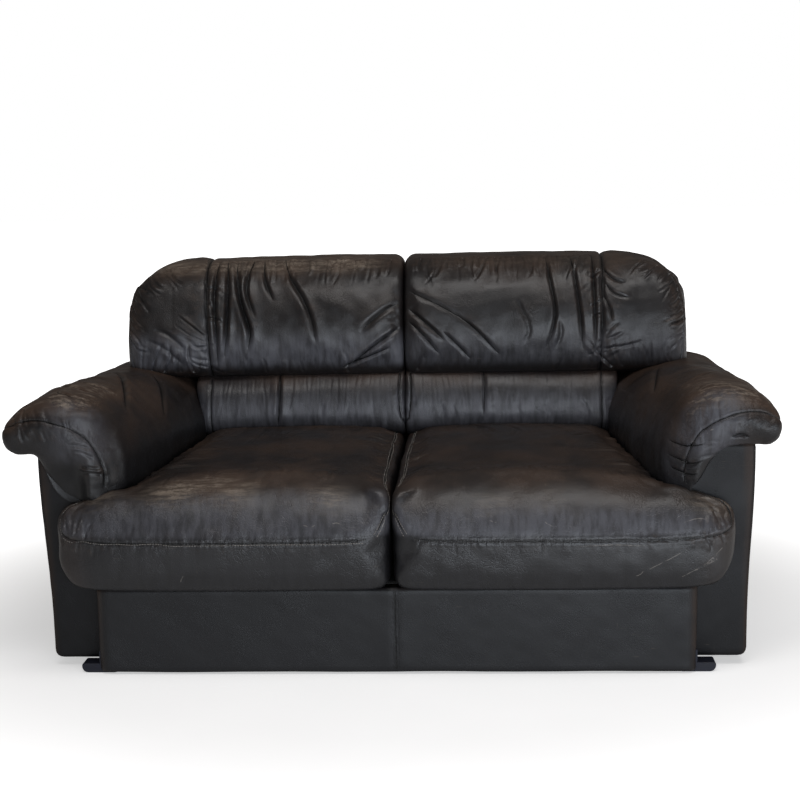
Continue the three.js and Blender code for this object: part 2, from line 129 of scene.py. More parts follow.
def spline(points: Sequence[Sequence[float]], spacing: float, closed: bool) -> Array:
    """A smooth line through points.

    Args:
        points: Control points in two or three dimensions.
        spacing: Distance between the points of the result, in metres.
        closed: Whether the line returns to its start.

    Returns:
        Evenly spaced points along a Catmull-Rom spline.
    """
    knots = np.asarray(points, float)
    if closed:
        knots = np.vstack([knots[-1], knots, knots[:2]])
    else:
        knots = np.vstack([2 * knots[0] - knots[1], knots, 2 * knots[-1] - knots[-2]])
    steps = np.linspace(0, 1, 16, endpoint=False)[:, None]
    pieces = []
    for a, b, c, d in zip(knots[:-3], knots[1:-2], knots[2:-1], knots[3:]):
        cubic = 2 * b + (c - a) * steps + (2 * a - 5 * b + 4 * c - d) * steps**2
        pieces.append(0.5 * (cubic + (3 * b - a - 3 * c + d) * steps**3))
    dense = np.vstack([*pieces, knots[-2][None]])
    along = np.concatenate([[0], np.cumsum(np.linalg.norm(np.diff(dense, axis=0), axis=1))])
    count = max(4, int(along[-1] / spacing))
    wanted = np.linspace(0, along[-1], count, endpoint=not closed)
    return np.column_stack([np.interp(wanted, along, column) for column in dense.T])


def outline_normals(outline: Array) -> Array:
    """Unit normals of a closed flat outline, pointing out of it."""
    tangent = np.roll(outline, -1, axis=0) - np.roll(outline, 1, axis=0)
    normal = np.column_stack([tangent[:, 1], -tangent[:, 0]])
    normal /= np.linalg.norm(normal, axis=1, keepdims=True) + 1e-12
    x, y = outline.T
    area = np.sum(x * np.roll(y, -1) - y * np.roll(x, -1))
    return normal if area > 0 else -normal


def stack(
    outline: Array,
    low: float,
    high: float,
    low_round: Callable[[Array], Array],
    high_round: Callable[[Array], Array],
    way: Stack,
) -> Solid:
    """A closed solid: an outline stacked along a direction, with rounded ends.

    Args:
        outline: Closed outline, (n, 2).
        low: Where the solid starts.
        high: Where it ends.
        low_round: Gives the rounding radius at the start from the outline's normals.
        high_round: The same at the end.
        way: The stacking direction.

    Returns:
        Vertices and faces.
    """
    normals = outline_normals(outline)
    count = len(outline)
    low_radius = np.broadcast_to(low_round(normals), count)
    high_radius = np.broadcast_to(high_round(normals), count)
    rings = []
    for angle in np.linspace(0, math.pi / 2, 9):
        inset = low_radius * (1 - math.sin(angle))
        height = low + low_radius * (1 - math.cos(angle))
        rings.append(way.place(outline - normals * inset[:, None], height))
    for part in np.linspace(0, 1, 24)[1:-1]:
        height = (low + low_radius) * (1 - part) + (high - high_radius) * part
        rings.append(way.place(outline, height))
    for angle in np.linspace(math.pi / 2, 0, 9):
        inset = high_radius * (1 - math.sin(angle))
        height = high - high_radius * (1 - math.cos(angle))
        rings.append(way.place(outline - normals * inset[:, None], height))
    faces = [list(range(count))[::-1]]
    for ring in range(len(rings) - 1):
        base = ring * count
        for index in range(count):
            other = (index + 1) % count
            faces.append([base + index, base + other, base + count + other, base + count + index])
    faces.append([(len(rings) - 1) * count + index for index in range(count)])
    return np.vstack(rings), faces


def even(radius: float) -> Callable[[Array], Array]:
    """A rounding that is the same all round an outline."""
    return lambda normals: np.full(len(normals), radius)


def by_normal(down: float, up: float, other: float) -> Callable[[Array], Array]:
    """A rounding that depends on which way an outline faces.

    Args:
        down: Radius where it faces down (or towards the low side of its second axis).
        up: Radius where it faces up.
        other: Radius where it faces sideways.

    Returns:
        The rounding, for stack().
    """

    def radius(normals: Array) -> Array:
        lift = normals[:, 1]
        return other + (up - other) * np.clip(lift, 0, 1) + (down - other) * np.clip(-lift, 0, 1)

    return radius


def smoothstep(low: float, high: float, value: Array) -> Array:
    """0 below low, 1 above high, smooth between."""
    part = np.clip((value - low) / (high - low), 0, 1)
    return part * part * (3 - 2 * part)


def bell(value: Array, middle: float, width: float) -> Array:
    """1 at the middle, falling to 0 over the width on both sides."""
    return np.exp(-(((value - middle) / width) ** 2))


def dome(value: Array, middle: float, width: float) -> Array:
    """1 at the middle, falling to 0 at the width as a parabola."""
    return np.clip(1 - ((value - middle) / width) ** 2, 0, 1)


@dataclass(frozen=True)
class Waves:
    """A smooth random field made of sine waves, the same on each run."""

    length: float
    seed: int
    stretch: Point3 = (1.0, 1.0, 1.0)

    def at(self, points: Array) -> Array:
        """Values of about -1 to 1 at points, (n, 3)."""
        random = np.random.default_rng(self.seed)
        total = np.zeros(len(points))
        for _ in range(9):
            direction = random.normal(size=3) * self.stretch
            pace = 2 * math.pi / self.length * random.uniform(0.6, 1.5)
            wave = points @ (direction / np.linalg.norm(direction) * pace)
            total += np.sin(wave + random.uniform(0, 2 * math.pi))
        return total / 4.2


# ---- skins ---------------------------------------------------------------------------------------


@dataclass(frozen=True)
class Fold:
    """A crease pressed into a skin along a line, with soft ridges beside it."""

    path: tuple[Point2, ...]
    width: float = 0.008
    depth: float = 0.004
    ridge: float = 0.6
    facing: Facing = Facing.FRONT
    open_start: bool = False
    lean: float = 0.0
    sharp: bool = True


@dataclass(frozen=True)
class Seam:
    """A sewn line: a groove with puffed shoulders and rows of topstitching beside it."""

    path: tuple[Point3, ...]
    groove: float = 0.0025
    groove_width: float = 0.0035
    puff: float = 0.0015
    puff_width: float = 0.014
    rows: tuple[float, ...] = (0.0045,)
    facing: Facing = Facing.FRONT


class Line(Enum):
    """Kinds of thin line that the finish draws from distances stored on the skin."""

    SEAM = "seam"
    CREASE = "crease"
    SCRATCH = "scratch"


@dataclass(frozen=True)
class Nearest:
    """Where points lie beside a line."""

    distance: Array
    along: Array
    side: Array


class Skin:
    """A leather skin being shaped: one mesh object with its points as arrays."""

    def __init__(self, obj: Object) -> None:
        """Takes over a mesh object."""
        self.obj = obj
        self.forget()

    def forget(self) -> None:
        """Starts with no relief and no lines."""
        count = len(self.obj.data.vertices)
        self.relief = np.zeros(count)
        self.lines = {kind: (np.ones(count), np.ones(count)) for kind in Line}

    def note(self, kind: Line, chosen: Array, near: Nearest, extra: Array) -> None:
        """Remembers how far points are from a line, and on which side of it.

        Args:
            kind: What kind of line it is.
            chosen: Indices of the points.
            near: Where they lie beside the line.
            extra: Distance to add to each, so that the line fades at its ends.
        """
        distance, side = self.lines[kind]
        reach = near.distance + extra
        closer = reach < distance[chosen]
        distance[chosen[closer]] = reach[closer]
        side[chosen[closer]] = (near.distance * near.side)[closer]

    @property
    def points(self) -> Array:
        """Positions of the vertices, (n, 3)."""
        flat = np.empty(len(self.obj.data.vertices) * 3, np.float32)
        self.obj.data.vertices.foreach_get("co", flat)
        return flat.reshape(-1, 3).astype(float)

    @points.setter
    def points(self, values: Array) -> None:
        """Moves the vertices."""
        self.obj.data.vertices.foreach_set("co", values.astype(np.float32).ravel())
        self.obj.data.update()

    @property
    def normals(self) -> Array:
        """Vertex normals, (n, 3)."""
        flat = np.empty(len(self.obj.data.vertices) * 3, np.float32)
        self.obj.data.vertex_normals.foreach_get("vector", flat)
        return flat.reshape(-1, 3).astype(float)

    def soften(self, share: Array, rounds: int) -> None:
        """Smooths the skin, each point by its share from 0 to 1."""
        self.weigh("soft", np.clip(share, 0, 1), 10)
        modify(self.obj, "SMOOTH", factor=0.5, iterations=rounds, vertex_group="soft")
        bake(self.obj)

    def weigh(self, name: str, share: Array, steps: int) -> None:
        """Stores shares from 0 to 1 as a vertex group, rounded to a number of steps."""
        group = self.obj.vertex_groups.new(name=name)
        levels = np.round(share * steps).astype(int)
        for level in np.unique(levels):
            group.add(np.flatnonzero(levels == level).tolist(), level / steps, "REPLACE")

    def settle(self, hold: Array, excess: Point3) -> None:
        """Lets the skin swell and buckle as cloth with more width than its filling needs.

        It moves little along X, where its neighbours lie.

        Args:
            hold: How firmly each point is held, 0 to 1; it is free below about a third.
            excess: Spare width of the leather along X, Y and Z, as a share.
        """
        free_below, firm_over = 0.36, 0.6
        start = self.points
        middle = start.mean(axis=0)
        obj = self.obj
        self.weigh("hold", np.clip((hold - free_below) / firm_over, 0, 1), 20)
        obj.shape_key_add(name="Basis")
        cut = obj.shape_key_add(name="Cut")
        rest = middle + (start - middle) * (1 + np.array(excess))
        cut.data.foreach_set("co", rest.astype(np.float32).ravel())
        cloth = modify(obj, "CLOTH")
        assign(
            cloth.settings, quality=2, mass=0.4, tension_stiffness=12, compression_stiffness=12,
            shear_stiffness=6, bending_stiffness=0.6, air_damping=4, use_pressure=True,
            uniform_pressure_force=4, vertex_group_mass="hold", pin_stiffness=0.6,
            rest_shape_key=cut)
        cloth.settings.effector_weights.gravity = 0
        assign(cloth.collision_settings, use_collision=False, use_self_collision=False)
        scene = bpy.context.scene
        for step in range(1, 21):
            scene.frame_set(step)
        bake(obj)
        scene.frame_set(1)
        moved = (self.points - start) * (0.25, 1, 1)
        length = np.linalg.norm(moved, axis=1, keepdims=True)
        LOG.info("%s settled, furthest %.0f mm", obj.name, length.max() * 1000)
        self.points = start + moved * SLACK * np.tanh(length / SLACK) / (length + 1e-9)

    def refine(self) -> None:
        """Splits each face once, smoothly."""
        modify(self.obj, "SUBSURF", levels=1, render_levels=1)
        bake(self.obj)
        self.forget()

    def push(self, amount: Array) -> None:
        """Moves the skin out along its normals, and remembers the relief."""
        self.points = self.points + self.normals * amount[:, None]
        self.relief += amount

    def lay(self, points: Sequence[Point2], facing: Facing) -> Array:
        """Lays a line drawn on a flat view onto the skin.

        Args:
            points: The line's points on the view.
            facing: Which view.

        Returns:
            Points on the skin, (n, 3).
        """
        hits = []
        for point in spline(points, LINE_STEP, closed=False):
            start, direction = facing.lift(tuple(point))
            found, place, _, _ = self.obj.ray_cast(start, direction)
            if found:
                hits.append(tuple(place))
        return np.array(hits).reshape(-1, 3)

    def press(self, folds: Iterable[Fold]) -> None:
        """Presses creases into the skin."""
        points = self.points
        total = np.zeros(len(points))
        for fold in folds:
            line = self.lay(fold.path, fold.facing)
            if len(line) < 3:
                continue
            chosen = around(points, line, fold.width * 4)
            if len(chosen) == 0:
                continue
            near = beside(points[chosen], line, fold.facing)
            ends = np.minimum(1 - near.along, 1 if fold.open_start else near.along)
            taper = np.clip(ends / 0.3, 0, 1) ** 0.8
            ratio = near.distance / fold.width
            valley = bell(ratio, 0, 0.55)
            ridge = fold.ridge * ratio * np.exp(1 - ratio**1.3) * (1 + fold.lean * near.side)
            total[chosen] += fold.depth * taper * (ridge - valley)
            if fold.sharp:
                self.note(Line.CREASE, chosen, near, 0.012 * (1 - taper))
        self.push(total)

    def scratch(self, paths: Iterable[tuple[Point2, ...]], facing: Facing) -> None:
        """Notes thin scratches, which the finish draws."""
        points = self.points
        for path in paths:
            line = self.lay(path, facing)
            chosen = around(points, line, 0.02)
            near = beside(points[chosen], line, facing)
            ends = np.clip(np.minimum(near.along, 1 - near.along) / 0.05, 0, 1)
            self.note(Line.SCRATCH, chosen, near, 0.02 * (1 - ends))

    def sew(self, seams: Iterable[Seam]) -> list[tuple[Array, tuple[float, ...]]]:
        """Sinks seams into the skin.

        Args:
            seams: The seams, given near the skin.

        Returns:
            Each seam's line on the skin, with the distances of its rows of topstitching.
        """
        lines = []
        for seam in seams:
            points = self.points
            line = np.array([
                tuple(self.obj.closest_point_on_mesh(Vector(point))[1])
                for point in spline(seam.path, 0.006, closed=False)
            ])
            chosen = around(points, line, seam.puff_width * 4)
            near = beside(points[chosen], line, seam.facing)
            ends = np.clip(np.minimum(near.along, 1 - near.along) / 0.04, 0, 1)
            groove = bell(near.distance, 0, seam.groove_width)
            ratio = near.distance / seam.puff_width
            puff = ratio * np.exp(1 - ratio)
            amount = np.zeros(len(points))
            amount[chosen] = (seam.puff * puff - seam.groove * groove) * ends
            self.push(amount)
            if seam.groove:
                self.note(Line.SEAM, chosen, near, 0.012 * (1 - ends))
            lines.append((line, seam.rows))
        return lines

    def rows_beside(
        self, lines: Iterable[tuple[Array, tuple[float, ...]]]
    ) -> list[Array]:
        """Lines on the skin at set distances beside seams.

        Args:
            lines: Seams, (n, 3), with their rows' distances in metres, negative for the other side.

        Returns:
            One line for each row.
        """
        rows = []
        for line, offsets in lines:
            tangent = np.gradient(line, axis=0)
            tangent /= np.linalg.norm(tangent, axis=1, keepdims=True) + 1e-9
            for offset in offsets:
                row = []
                for place, way in zip(line, tangent):
                    _, _, normal, _ = self.obj.closest_point_on_mesh(Vector(place))
                    aside = Vector(place) + normal.cross(Vector(way)) * offset
                    _, hit, normal, _ = self.obj.closest_point_on_mesh(aside)
                    row.append(tuple(hit + normal * THREAD_LIFT))
                row = np.array(row)
                for _ in range(6):
                    row[1:-1] = (row[:-2] + 2 * row[1:-1] + row[2:]) / 4
                rows.append(row)
        return rows

    def mark(self, name: str, values: Array) -> None:
        """Stores a value on each vertex for the finish to read."""
        attribute = self.obj.data.attributes.new(name, "FLOAT", "POINT")
        attribute.data.foreach_set("value", values.astype(np.float32))

    def finish(self, **shares: Array) -> None:
        """Stores what the leather finish reads, each from 0 to 1, and shades the skin smooth."""
        for name, values in shares.items():
            self.mark(name, np.clip(values, 0, 1))
        self.mark("relief", np.clip(self.relief / FULL_RELIEF, -1, 1))
        for kind, (distance, side) in self.lines.items():
            self.mark(kind.value, distance)
            self.mark(f"{kind.value}_side", side)
        self.obj.data.polygons.foreach_set("use_smooth", [True] * len(self.obj.data.polygons))

    def thin(self, faces: int) -> None:
        """Drops points where the skin is flattest, down to a number of triangles."""
        triangles = sum(len(polygon.vertices) - 2 for polygon in self.obj.data.polygons)
        if triangles > faces:
            modify(self.obj, "DECIMATE", ratio=faces / triangles)
            bake(self.obj)


def around(points: Array, line: Array, reach: float) -> Array:
    """Indices of the points in a line's box, grown by a reach."""
    close = (points > line.min(0) - reach) & (points < line.max(0) + reach)
    return np.flatnonzero(np.all(close, axis=1))


def beside(points: Array, line: Array, facing: Facing) -> Nearest:
    """Where points lie beside a line of segments.

    Args:
        points: (n, 3).
        line: (m, 3).
        facing: The view on which the line's two sides are told apart.

    Returns:
        Distances in metres, shares of the line's length from 0 to 1, and sides as -1 or 1.
    """
    lengths = np.linalg.norm(np.diff(line, axis=0), axis=1) + 1e-9
    starts = np.concatenate([[0], np.cumsum(lengths)])
    best = np.full(len(points), 1e9)
    along = np.zeros(len(points))
    side = np.ones(len(points))
    view = np.array(facing.value)
    for index, (a, b) in enumerate(zip(line[:-1], line[1:])):
        part = np.clip((points - a) @ (b - a) / lengths[index] ** 2, 0, 1)
        offset = points - a - part[:, None] * (b - a)
        distance = np.linalg.norm(offset, axis=1)
        closer = distance < best
        best[closer] = distance[closer]
        along[closer] = (starts[index] + part[closer] * lengths[index]) / starts[-1]
        side[closer] = np.where(offset[closer] @ np.cross(b - a, view) < 0, -1, 1)
    return Nearest(best, along, side)


def new_object(name: str, points: Array, faces: list[list[int]]) -> Object:
    """Makes a mesh object and links it to the scene."""
    mesh = bpy.data.meshes.new(name)
    mesh.from_pydata(points.tolist(), [], faces)
    mesh.update()
    obj = bpy.data.objects.new(name, mesh)
    bpy.context.scene.collection.objects.link(obj)
    return obj


def assign(target: object, **values: object) -> object:
    """Sets several properties of one thing, and returns it."""
    for key, value in values.items():
        setattr(target, key, value)
    return target


def modify(obj: Object, kind: str, **values: object) -> bpy.types.Modifier:
    """Adds a modifier with these settings."""
    return assign(obj.modifiers.new(kind.lower(), kind), **values)


def bake(obj: Object) -> None:
    """Applies an object's modifiers and drops its shape keys and groups."""
    graph = bpy.context.evaluated_depsgraph_get()
    mesh = bpy.data.meshes.new_from_object(obj.evaluated_get(graph))
    obj.modifiers.clear()
    obj.shape_key_clear()
    obj.vertex_groups.clear()
    old = obj.data
    obj.data = mesh
    mesh.name = obj.name
    bpy.data.meshes.remove(old)
    bpy.context.view_layer.update()


def puckers(
    seed: int,
    start: Sequence[Point2],
    way: Point2,
    count: int,
    length: Point2,
    depth: float,
    width: float = 0.006,
    facing: Facing = Facing.FRONT,
    lean: float = 0.22,
) -> list[Fold]:
    """Short creases that run away from a gathered edge.

    Args:
        seed: Seed of the random spread.
        start: The edge that they start from, on a flat view.
        way: Which way they run on that view.
        count: How many.
        length: Shortest and longest.
        depth: Mean depth.
        width: Mean width.
        facing: The flat view.
        lean: How much they stray from that way.

    Returns:
        The creases.
    """
    random = np.random.default_rng(seed)
    edge = spline(start, 0.002, closed=False)
    way_unit = np.array(way) / np.linalg.norm(way)
    side = np.array([-way_unit[1], way_unit[0]])
    made = []
    for index in range(count):
        place = edge[int((index + random.uniform(0.1, 0.9)) / count * (len(edge) - 1))]
        reach = random.uniform(*length)
        stray = random.normal(0, lean)
        bend = random.normal(0, 0.4 * lean)
        middle = place + way_unit * reach * 0.5 + side * reach * (stray * 0.5 + bend)
        end = place + way_unit * reach + side * reach * stray
        path = (tuple(place), tuple(middle), tuple(end))
        made.append(Fold(
            path,
            width * random.uniform(0.7, 1.5),
            depth * random.uniform(0.4, 1.5),
            random.uniform(0.5, 0.9),
            facing,
            open_start=True,
            lean=random.uniform(-0.7, 0.7),
            sharp=False,
        ))
    return made


def gathers(seed: int, rows: Iterable[tuple]) -> list[Fold]:
    """Puckers along several edges; each row is what puckers() takes after its seed."""
    return [fold for index, row in enumerate(rows) for fold in puckers(seed + index, *row)]


def creases(rows: Iterable[tuple], **shared: object) -> list[Fold]:
    """Folds from rows of their points, width and depth, with the fields that they share."""
    return [Fold(tuple(path), width, depth, **shared) for *path, width, depth in rows]


# ---- topstitching --------------------------------------------------------------------------------


@dataclass(frozen=True)
class Topstitch:
    """Rows of thread stitches, laid along lines by a node tree."""

    pitch: float = 0.0058
    stitch: float = 0.0050
    thread: float = 0.0007

    def tree(self, material: Material) -> Tree:
        """The node tree that puts a stitch at each step of a line."""
        tree = bpy.data.node_groups.new("stitch_row", "GeometryNodeTree")
        face = tree.interface
        face.new_socket("Line", in_out="INPUT", socket_type="NodeSocketGeometry")
        for name in ("Pitch", "Stitch Length", "Thread Radius"):
            face.new_socket(name, in_out="INPUT", socket_type="NodeSocketFloat")
        face.new_socket("Stitches", in_out="OUTPUT", socket_type="NodeSocketGeometry")
        n = Nodes(tree)
        given = n.add("NodeGroupInput").outputs
        steps = n.add("GeometryNodeCurveToPoints", mode="LENGTH")
        n.fill(steps, Curve=given["Line"], Length=given["Pitch"])
        ball = n.add("GeometryNodeMeshUVSphere")
        n.fill(ball, Segments=5, Rings=4, Radius=1.0)
        half = n.math("MULTIPLY", given["Stitch Length"], 0.5)
        size = n.add("ShaderNodeCombineXYZ")
        n.fill(size, X=given["Thread Radius"], Y=given["Thread Radius"], Z=half)
        lay = n.add("GeometryNodeInstanceOnPoints")
        n.fill(
            lay, Points=steps.outputs["Points"], Rotation=steps.outputs["Rotation"],
            Instance=ball.outputs["Mesh"], Scale=size.outputs[0])
        real = n.add("GeometryNodeRealizeInstances")
        n.fill(real, Geometry=lay.outputs["Instances"])
        smooth = n.add("GeometryNodeSetShadeSmooth")
        n.fill(smooth, Geometry=real.outputs["Geometry"])
        colour = n.add("GeometryNodeSetMaterial")
        n.fill(colour, Geometry=smooth.outputs["Geometry"], Material=material)
        n.fill(n.add("NodeGroupOutput"), Stitches=colour.outputs["Geometry"])
        return tree

    def lay(
        self, name: str, rows: Sequence[Array], material: Material
    ) -> Object | None:
        """Makes one mesh of stitches along rows.

        Args:
            name: Name of the piece.
            rows: Lines on the skin.
            material: The thread's finish.

        Returns:
            The stitches, or None where there are no rows.
        """
        if not rows:
            return None
        curve = bpy.data.curves.new(name, "CURVE")
        curve.dimensions = "3D"
        for row in rows:
            line = curve.splines.new("POLY")
            line.points.add(len(row) - 1)
            line.points.foreach_set("co", np.column_stack([row, np.ones(len(row))]).ravel())
        carrier = bpy.data.objects.new(name + "_line", curve)
        bpy.context.scene.collection.objects.link(carrier)
        modifier = carrier.modifiers.new("stitches", "NODES")
        tree = self.tree(material)
        modifier.node_group = tree
        sizes = {"Pitch": self.pitch, "Stitch Length": self.stitch, "Thread Radius": self.thread}
        for item in tree.interface.items_tree:
            if item.item_type == "SOCKET" and item.name in sizes:
                modifier[item.identifier] = sizes[item.name]
        graph = bpy.context.evaluated_depsgraph_get()
        graph.update()
        mesh = bpy.data.meshes.new_from_object(carrier.evaluated_get(graph))
        bpy.data.objects.remove(carrier)
        obj = bpy.data.objects.new(name, mesh)
        bpy.context.scene.collection.objects.link(obj)
        return obj


# ---- finishes ------------------------------------------------------------------------------------


class Nodes:
    """Short calls for filling one node tree."""

    def __init__(self, tree: Tree) -> None:
        """Works on a tree."""
        self.tree = tree

    def add(self, kind: str, **settings: object) -> bpy.types.Node:
        """Adds a node and sets its properties."""
        return assign(self.tree.nodes.new(kind), **settings)

    def feed(self, socket: Socket, value: object) -> None:
        """Links a socket to another, or sets its value."""
        if isinstance(value, Socket):
            self.tree.links.new(value, socket)
        else:
            socket.default_value = value

    def fill(self, node: bpy.types.Node, **values: object) -> None:
        """Feeds a node's inputs by name; underscores in argument names stand for spaces."""
        for key, value in values.items():
            self.feed(node.inputs[key.replace("_", " ")], value)

    def math(
        self, operation: str, a: object, b: object = 0.0, clamp: bool = False
    ) -> Socket:
        """Output of a math node."""
        node = self.add("ShaderNodeMath", operation=operation, use_clamp=clamp)
        self.feed(node.inputs[0], a)
        self.feed(node.inputs[1], b)
        return node.outputs[0]

    def product(self, *factors: object) -> Socket:
        """Output of a chain of multiplications."""
        return reduce(lambda a, b: self.math("MULTIPLY", a, b), factors)

    def plus(self, total: object, part: object, share: object, clamp: bool = False) -> Socket:
        """A total with a share of something added."""
        return self.math("ADD", total, self.product(part, share), clamp)

    def mix(self, factor: object, a: object, b: object) -> Socket:
        """Output of a colour mix."""
        node = self.add("ShaderNodeMix", data_type="RGBA")
        self.fill(node, Factor=factor, A=a, B=b)
        return node.outputs["Result"]

    def ramp(
        self, value: object, low: float, high: float, out: Point2 = (0.0, 1.0)
    ) -> Socket:
        """Output of a smooth map from low..high to out."""
        node = self.add("ShaderNodeMapRange", interpolation_type="SMOOTHSTEP")
        self.fill(node, Value=value, From_Min=low, From_Max=high, To_Min=out[0], To_Max=out[1])
        return node.outputs["Result"]

    def noise(
        self, where: object, scale: object, detail: float = 4.0, rough: float = 0.55
    ) -> Socket:
        """Output of a noise texture."""
        node = self.add("ShaderNodeTexNoise")
        self.fill(node, Vector=where, Scale=scale, Detail=detail, Roughness=rough)
        return node.outputs["Fac"]

    def place(self) -> Socket:
        """Object coordinates."""
        return self.add("ShaderNodeTexCoord").outputs["Object"]

    def stretched(
        self, where: object, scale: Point3
    ) -> Socket:
        """Coordinates stretched by a Mapping node."""
        node = self.add("ShaderNodeMapping")
        self.fill(node, Vector=where, Scale=scale)
        return node.outputs["Vector"]

    def mark(self, name: str) -> Socket:
        """A value stored on the mesh."""
        return self.add("ShaderNodeAttribute", attribute_name=name).outputs["Fac"]

    def group(self, tree: Tree, **values: object) -> bpy.types.Node:
        """Adds a shared group; underscores in argument names stand for spaces."""
        node = self.add("ShaderNodeGroup", node_tree=tree)
        self.fill(node, **values)
        return node

    def relief(self, height: object, strength: float, distance: float) -> Socket:
        """The normal of a bump."""
        node = self.add("ShaderNodeBump")
        self.fill(node, Height=height, Strength=strength, Distance=distance)
        return node.outputs["Normal"]

    def surface(self, **values: object) -> None:
        """Ends a material in a Principled shader with these inputs."""
        shader = self.add("ShaderNodeBsdfPrincipled")
        self.fill(shader, **values)
        self.fill(self.add("ShaderNodeOutputMaterial"), Surface=shader.outputs["BSDF"])

    @classmethod
    def of_material(cls, name: str) -> tuple[Material, "Nodes"]:
        """A new material with an empty tree, and the calls that fill it."""
        made = bpy.data.materials.new(name)
        made.use_nodes = True
        made.node_tree.nodes.clear()
        return made, cls(made.node_tree)


class SharedEffects:
    """Shader groups that more than one finish uses, each built once."""

    def __init__(self) -> None:
        """Builds every group."""
        self.grain = self.build_grain()
        self.crackle = self.build_crackle()
        self.rub = self.build_rub()
        self.scuff = self.build_scuff()

    @staticmethod
    def start(
        name: str, inputs: dict[str, float], outputs: Sequence[str]
    ) -> tuple[Tree, Nodes, bpy.types.NodeOutputs, bpy.types.Node]:
        """Starts a group with float sockets.

        Args:
            name: Name of the group.
            inputs: Its inputs with their defaults; "Vector" is a vector.
            outputs: Its outputs.

        Returns:
            The tree, its node helper, the sockets that it is given and its output node.
        """
        tree = bpy.data.node_groups.new(name, "ShaderNodeTree")
        tree.interface.new_socket("Vector", in_out="INPUT", socket_type="NodeSocketVector")
        for key, value in inputs.items():
            socket = tree.interface.new_socket(key, in_out="INPUT", socket_type="NodeSocketFloat")
            socket.default_value = value
        for key in outputs:
            tree.interface.new_socket(key, in_out="OUTPUT", socket_type="NodeSocketFloat")
        nodes = Nodes(tree)
        return tree, nodes, nodes.add("NodeGroupInput").outputs, nodes.add("NodeGroupOutput")

    def build_grain(self) -> Tree:
        """Small pebbles of leather grain."""
        tree, n, given, result = self.start("leather_grain", {"Pebbles": 420.0}, ["Height"])
        warp = n.noise(given["Vector"], 90.0, 2.0)
        moved = n.add("ShaderNodeVectorMath", operation="MULTIPLY_ADD")
        n.feed(moved.inputs[0], warp)
        moved.inputs[1].default_value = (0.002, 0.002, 0.002)
        n.feed(moved.inputs[2], given["Vector"])
        cells = n.add("ShaderNodeTexVoronoi", feature="SMOOTH_F1")
        n.fill(cells, Vector=moved.outputs[0], Scale=given["Pebbles"], Smoothness=0.6)
        pebble = n.math("SUBTRACT", 1.0, cells.outputs["Distance"])
        fine = n.noise(given["Vector"], 1500.0, 2.0)
        n.fill(result, Height=n.plus(pebble, fine, 0.3))
        return tree

    def build_crackle(self) -> Tree:
        """A net of fine creases, as in leather that has been sat on for years."""
        tree, n, given, result = self.start(
            "leather_crackle", {"Cells": 70.0, "Width": 0.10}, ["Height", "Line"]
        )
        warp = n.add("ShaderNodeTexNoise")
        n.fill(warp, Vector=given["Vector"], Scale=22.0, Detail=4.0)
        moved = n.add("ShaderNodeVectorMath", operation="MULTIPLY_ADD")
        n.feed(moved.inputs[0], warp.outputs["Color"])
        moved.inputs[1].default_value = (0.03, 0.03, 0.03)
        n.feed(moved.inputs[2], given["Vector"])
        net = n.add("ShaderNodeTexVoronoi", feature="DISTANCE_TO_EDGE")
        n.fill(net, Vector=moved.outputs[0], Scale=given["Cells"])
        share = n.math("DIVIDE", net.outputs["Distance"], given["Width"], clamp=True)
        broken = n.ramp(n.noise(given["Vector"], 14.0, 3.0), 0.42, 0.62)
        line = n.product(n.math("SUBTRACT", 1.0, share), broken)
        n.fill(result, Line=line, Height=n.math("SUBTRACT", 1.0, line))
        return tree

    def build_rub(self) -> Tree:
        """How far the black finish is rubbed off, patchy and strongest on ridges, and browned on
        upward faces.
        """
        tree, n, given, result = self.start(
            "rubbed_leather", {"Wear": 0.0, "Bare": 0.0, "Relief": 0.0, "Up": 0.0},
            ["Brown", "Bare"],
        )
        where = given["Vector"]
        broad = n.ramp(n.noise(where, 7.0, 5.0, 0.6), 0.35, 0.68)
        fine = n.ramp(n.noise(n.stretched(where, (1.0, 1.6, 1.6)), 45.0, 6.0, 0.65), 0.4, 0.7)
        ridge = n.ramp(given["Relief"], 0.05, 0.8)
        wear = given["Wear"]
        patchy = n.product(wear, n.plus(0.45, broad, 0.75))
        # Browner where the surface faces up: partly wear on the tops, partly painted warm light
        # from above.
        up = n.product(given["Up"], n.product(broad, 0.35))
        rise = n.product(ridge, n.product(fine, 0.30))
        brown = n.math("ADD", n.math("ADD", patchy, up), rise, clamp=True)
        drawn = n.ramp(n.noise(n.stretched(where, (0.35, 1.6, 1.6)), 62.0, 7.0, 0.7), 0.40, 0.64)
        patch = n.product(given["Bare"], n.math("ADD", drawn, 0.22))
        spread = n.ramp(n.product(wear, n.math("ADD", broad, drawn)), 1.0, 2.3)
        n.fill(result, Brown=brown, Bare=n.math("ADD", patch, spread, clamp=True))
        return tree

    def build_scuff(self) -> Tree:
        """Faint long scratches and dull rubbed spots."""
        tree, n, given, result = self.start("scuffs", {"Amount": 0.5}, ["Mask", "Spots"])
        where = given["Vector"]
        long_a = n.noise(n.stretched(where, (6.0, 20.0, 60.0)), 3.0, 4.0)
        long_b = n.noise(n.stretched(where, (50.0, 20.0, 9.0)), 2.6, 4.0)
        lines = n.math("MAXIMUM", n.ramp(long_a, 0.66, 0.74), n.ramp(long_b, 0.68, 0.76))
        broad = n.ramp(n.noise(where, 5.0, 3.0), 0.45, 0.65)
        spots = n.ramp(n.noise(where, 30.0, 5.0, 0.7), 0.6, 0.75)
        amount = given["Amount"]
        n.fill(result, Mask=n.product(lines, broad, amount), Spots=n.product(spots, amount))
        return tree


